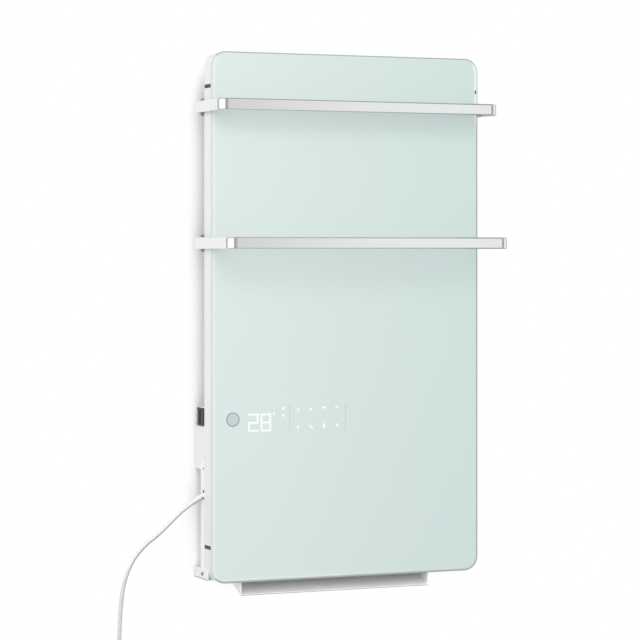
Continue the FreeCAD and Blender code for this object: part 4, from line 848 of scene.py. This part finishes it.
def makeTaperTree(settings):
    tree = Shaper("ribbedTaper", {"Root": "Float", "Tip": "Float", "Ribs": "Float", "Rib Depth": "Float",
                                  "Finish": "Material"})
    line = tree.add("GeometryNodeResampleCurve", {"mode": "COUNT"},
                    {"Curve": tree.get("Geometry"), "Count": settings["steps"]})
    along = tree.add("GeometryNodeSplineParameter", out="Factor")
    wave = (along * tree.get("Ribs") * (2 * math.pi)).math("COSINE")
    groove = (wave * 0.5 + 0.5) ** settings["ribPower"] * tree.get("Rib Depth")
    radius = tree.get("Root") + along * (tree.get("Tip") - tree.get("Root")) - groove
    ring = tree.add("GeometryNodeCurvePrimitiveCircle", {"mode": "RADIUS"},
                    {"Resolution": settings["turnSteps"], "Radius": 1.0})
    sized = tree.add("GeometryNodeSetCurveRadius", values={"Curve": line, "Radius": radius})
    tree.close(tree.add("GeometryNodeCurveToMesh", values={"Curve": sized, "Profile Curve": ring,
                                                           "Scale": radius, "Fill Caps": True}))
    return tree


def makeSleeve(settings):
    fall = math.radians(settings["fall"])
    heading = Vector((-math.cos(fall), 0.0, -math.sin(fall)))
    root = Vector(settings["point"])
    line = newLine("sleeveLine", "POLY", [root + heading * settings[key] for key in ("start", "length")])
    taper = makeTaperTree(settings).shape("sleeveTaper", line, {
        "Root": settings["rootRadius"], "Tip": settings["tipRadius"], "Ribs": float(settings["ribs"]),
        "Rib Depth": settings["ribDepth"], "Finish": leadSheath})
    shape = bmesh.new()
    shape.from_mesh(taper)
    turns = roundTurns(settings["flangeSteps"])
    skin(shape, [[root + Vector((-rise, size * math.cos(turn), size * math.sin(turn))) for turn in turns]
                 for size, rise in settings["flange"]])
    # the sleeve takes the lead sheath, with its painted underside shade
    addPiece("leadSleeve", meshFrom("leadSleeve", shape, settings["smooth"]), "white_plastic", ("cord_gland",),
             material=leadSheath)


makeSleeve(sleeveSettings)
plug = smoothCopy("plug_body", "plugBody", 0.0012)
pins = smoothCopy("plug_pins", "plugPins", 0.0006)
tie = smoothCopy("cord_tie", "leadTie", 0.0002)
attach(lead, "heater")
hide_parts("power_cord", "cord_coil")
print("sleeve, plug and lead joined")


# Marks that shine through the glass, as thin plates on its face
markSettings = {
    "face": 0.086, "thickness": 0.00006, "middleZ": -0.250,
    "sensor": {"x": -0.2114, "z": -0.1733, "radius": 0.0122, "ring": 0.0021},
    "digits": {"text": "28", "left": -0.184, "low": -0.195, "width": 0.0195, "height": 0.031, "pitch": 0.0228,
               "bar": 0.0037},
    "degree": (-0.1366, -0.1647, 0.0022, 0.0033),
    "dots": ((-0.1193, -0.1562, 0.0023, 0.0030), (-0.1193, -0.1685, 0.0025, 0.0025)),
    "slotShadeOval": (0.2456, 0.3917, 0.0014, 0.0034),
    "field": {"left": -0.1075, "right": -0.0037, "low": -0.1975, "high": -0.1500, "line": 0.0009},
    "keys": ((-0.0924, -0.1590, 0.0025, 0.0024, 0.0), (-0.0682, -0.1585, 0.0028, 0.0024, 30.0),
             (-0.0440, -0.1565, 0.0044, 0.0020, 0.0), (-0.0198, -0.1560, 0.0042, 0.0012, 5.0),
             (-0.0924, -0.1895, 0.0020, 0.0032, 0.0), (-0.0682, -0.1890, 0.0048, 0.0020, -38.0),
             (-0.0440, -0.1880, 0.0026, 0.0044, 0.0), (-0.0198, -0.1870, 0.0026, 0.0026, 0.0))}
segmentsOf = {"2": "abged", "8": "abcdefg"}


class MarkSheet:  # collects flat outlines and gives one thin mesh
    def __init__(self, settings):
        self.settings = settings
        self.shape = bmesh.new()

    def place(self, x, z, proud):
        return (x, -(self.settings["face"] + proud), z + self.settings["middleZ"])

    def outline(self, points):
        skin(self.shape, [[self.place(x, z, proud) for x, z in points]
                          for proud in (0.0, self.settings["thickness"])])

    def oval(self, x, z, halfX, halfZ, lean=0.0, steps=24):
        cosine, sine = math.cos(math.radians(lean)), math.sin(math.radians(lean))
        flat = [(halfX * math.cos(turn), halfZ * math.sin(turn)) for turn in roundTurns(steps)]
        self.outline([(x + u * cosine - v * sine, z + u * sine + v * cosine) for u, v in flat])

    def ring(self, x, z, outer, inner, steps=40):
        turns = roundTurns(steps)
        for first, last in zip(turns, turns[1:] + turns[:1]):
            self.outline([(x + radius * math.cos(turn), z + radius * math.sin(turn)) for radius, turn in
                          ((inner, first), (outer, first), (outer, last), (inner, last))])

    def bar(self, x0, z0, x1, z1, width, reach=0.0):
        start, end = Vector((x0, z0)), Vector((x1, z1))
        along = (end - start).normalized()
        side = Vector((-along.y, along.x)) * width / 2
        start, end = start - along * reach, end + along * reach
        self.outline((start - side, end - side, end + side, start + side))

    def finish(self, name, material, slotName="display_dark"):
        mesh = bpy.data.meshes.new(name)
        self.shape.to_mesh(mesh)
        self.shape.free()
        addPiece(name, mesh, slotName, material=material)


class SideSheet(MarkSheet):  # the same on the left side, measured by depth from the wall
    def place(self, depth, z, proud):
        return (-(self.settings["face"] + proud), -depth, z + self.settings["middleZ"])


def addDigit(sheet, settings, index, digit):
    inset = settings["bar"] / 2
    left = settings["left"] + index * settings["pitch"] + inset
    right = left + settings["width"] - 2 * inset
    low = settings["low"] + inset
    high = low + settings["height"] - 2 * inset
    middle = (low + high) / 2
    ends = {"a": (left, high, right, high), "b": (right, high, right, middle), "c": (right, middle, right, low),
            "d": (left, low, right, low), "e": (left, middle, left, low), "f": (left, high, left, middle),
            "g": (left, middle, right, middle)}
    for segment in segmentsOf[digit]:
        sheet.bar(*ends[segment], settings["bar"], inset if segment in "adg" else -inset)


def makeMarks(settings):
    sensor = settings["sensor"]
    inner = sensor["radius"] - sensor["ring"]
    lens = MarkSheet(settings)
    lens.oval(sensor["x"], sensor["z"], inner, inner, steps=40)
    lens.finish("sensorLens", sensorLens)
    rim = MarkSheet(settings)
    rim.ring(sensor["x"], sensor["z"], sensor["radius"], inner)
    rim.finish("sensorRim", sensorRing)
    lit = MarkSheet(settings)
    for index, digit in enumerate(settings["digits"]["text"]):
        addDigit(lit, settings["digits"], index, digit)
    for oval in settings["keys"] + settings["dots"]:
        lit.oval(*oval)
    lit.finish("litMarks", glow)
    faint = MarkSheet(settings)
    faint.oval(*settings["degree"])
    faint.finish("degreeMark", faintGlow)
    field = settings["field"]
    lines = MarkSheet(settings)
    for x in (field["left"], field["right"]):
        lines.bar(x, field["low"], x, field["high"], field["line"])
    lines.finish("keyFieldLines", fieldLine)
    # a dark oval on the glass face where the upper air slot shows: painted shade
    notch = MarkSheet(settings)
    notch.oval(*settings["slotShadeOval"])
    notch.finish("slotGlimpse", darkHole)


# Small dark ovals on the left side beside the lead: painted shade standing in for small openings at the seam
sideHoleSettings = {"face": 0.2485, "thickness": 0.0003, "middleZ": -0.250,
                "ends": ((0.0440, -0.2580, 0.0022, 0.0015), (0.0440, -0.2972, 0.0024, 0.0033),
                         (0.0440, -0.3088, 0.0024, 0.0017))}


def makeSideHoles(settings):
    holeMarks = SideSheet(settings)
    for end in settings["ends"]:
        holeMarks.oval(*end)
    holeMarks.finish("clipEnds", darkHole, "black_plastic")


makeMarks(markSettings)
makeSideHoles(sideHoleSettings)
print("marks placed")


# Room: white wall and floor, both seen from their front only and darker in the gap behind the part
roomSettings = {"wallY": 0.0008, "wallReach": 6.0, "floorZ": -1.10, "floorReach": 7.0, "shadowReach": 0.30,
                "samples": 24, "shadowFrom": 0.527, "shadowDepth": 2.35, "shadowLeast": 0.50}


def makeRoomFinish(name, settings):
    finish = Finish(name)
    path = finish.add("ShaderNodeLightPath", out="Is Camera Ray")
    facing = finish.add("ShaderNodeNewGeometry", out="Backfacing")
    shut = settings["shadowFrom"] - finish.openness(settings["shadowReach"], settings["samples"])
    shade = (1.0 - shut.most(0.0) * settings["shadowDepth"]).most(settings["shadowLeast"])
    paint = finish.add("ShaderNodeEmission", values={"Color": finish.blend(shade, (0, 0, 0), (255, 255, 255)),
                                                     "Strength": 1.0})
    clear = finish.add("ShaderNodeBsdfTransparent")
    whole = finish.add("ShaderNodeMixShader", values={0: path * (1.0 - facing), 1: clear, 2: paint})
    finish.add("ShaderNodeOutputMaterial", values={"Surface": whole})
    return finish.material


def makeSheet(name, corners, material):
    mesh = bpy.data.meshes.new(name)
    mesh.from_pydata(corners, [], [(0, 1, 2, 3)])
    mesh.materials.append(material)
    newObject(name, mesh)


def makeRoom(settings):
    corners = ((-1, -1), (1, -1), (1, 1), (-1, 1))
    wide, y = settings["wallReach"], settings["wallY"]
    makeSheet("roomWall", [(wide * u, y, wide * v) for u, v in corners], makeRoomFinish("wallPaint", settings))
    wide, z = settings["floorReach"], settings["floorZ"]
    makeSheet("roomFloor", [(wide * u, wide * v, z) for u, v in corners], makeRoomFinish("floorPaint", settings))


# Light: what mirrors see is a ring of pale and dark panels, by the degrees round the part
worldSettings = {
    "panels": ((0.0, 1.00), (28.0, 0.70), (45.0, 0.20), (62.0, 0.20), (74.0, 0.95), (104.0, 1.00), (112.0, 1.04),
               (126.0, 0.98), (136.0, 0.26), (148.0, 0.34), (160.0, 1.25), (236.0, 1.25), (248.0, 0.36),
               (268.0, 0.50), (284.0, 0.64), (292.0, 0.93), (297.0, 1.02), (302.0, 1.00), (310.0, 0.32),
               (321.0, 0.22), (336.0, 1.00)),
    "dimFrom": (0.35, 0.85), "dim": 0.45, "soft": 0.645, "white": (1.0, 1.0, 1.0, 1.0)}
lampSettings = {
    "keyLamp": {"place": (-1.35, -2.9, 0.75), "target": (0.0, -0.1, -0.2), "size": (2.2, 2.2), "power": 53.0},
    "sideLamp": {"place": (-3.6, -1.0, 0.4), "target": (-0.2, -0.05, -0.3), "size": (1.8, 2.4), "power": 18.0},
    "rearFill": {"place": (1.5, 4.0, 1.8), "target": (0.0, 0.0, -0.3), "size": (2.5, 2.5), "power": 90.0}}


def makeWorld(settings):
    world = bpy.data.worlds.new("studio")
    world.use_nodes = True
    scene.world = world
    world.node_tree.nodes.clear()
    maker = NodeMaker(world.node_tree)
    path = maker.add("ShaderNodeLightPath", out="Is Camera Ray")
    towards = maker.add("ShaderNodeTexCoord", out="Generated")
    split = maker.add("ShaderNodeSeparateXYZ", values={"Vector": towards})
    angle = split.output("Y").math("ARCTAN2", split)
    turn = (angle * (180.0 / math.pi) + 360.0).math("MODULO", 360.0)
    stops = [(place / 360.0, (level, level, level, 1.0)) for place, level in settings["panels"]]
    panels = maker.add("ShaderNodeValToRGB", {"stops": stops}, {"Fac": turn / 360.0})
    dim = 1.0 - abs(split.output("Z")).ramp(*settings["dimFrom"]) * settings["dim"]
    mirrored = maker.add("ShaderNodeBackground", values={"Color": panels, "Strength": dim})
    soft = maker.add("ShaderNodeBackground", values={"Color": settings["white"], "Strength": settings["soft"]})
    white = maker.add("ShaderNodeBackground", values={"Color": settings["white"], "Strength": 1.0})
    lit = maker.add("ShaderNodeMixShader", values={0: path.output("Is Glossy Ray"), 1: soft, 2: mirrored})
    seen = path.most(path.output("Is Transmission Ray"))
    whole = maker.add("ShaderNodeMixShader", values={0: seen, 1: lit, 2: white})
    maker.add("ShaderNodeOutputWorld", values={"Surface": whole})


def makeLamp(name, settings):
    data = bpy.data.lights.new(name, "AREA")
    data.shape = "RECTANGLE"
    data.size, data.size_y = settings["size"]
    data.energy = settings["power"]
    lamp = newObject(name, data)
    lamp.location = settings["place"]
    lamp.rotation_euler = (Vector(settings["target"]) - lamp.location).to_track_quat("-Z", "Y").to_euler()
    lamp.visible_glossy = False


makeRoom(roomSettings)
makeWorld(worldSettings)
for name, settings in lampSettings.items():
    makeLamp(name, settings)
print("room lit")
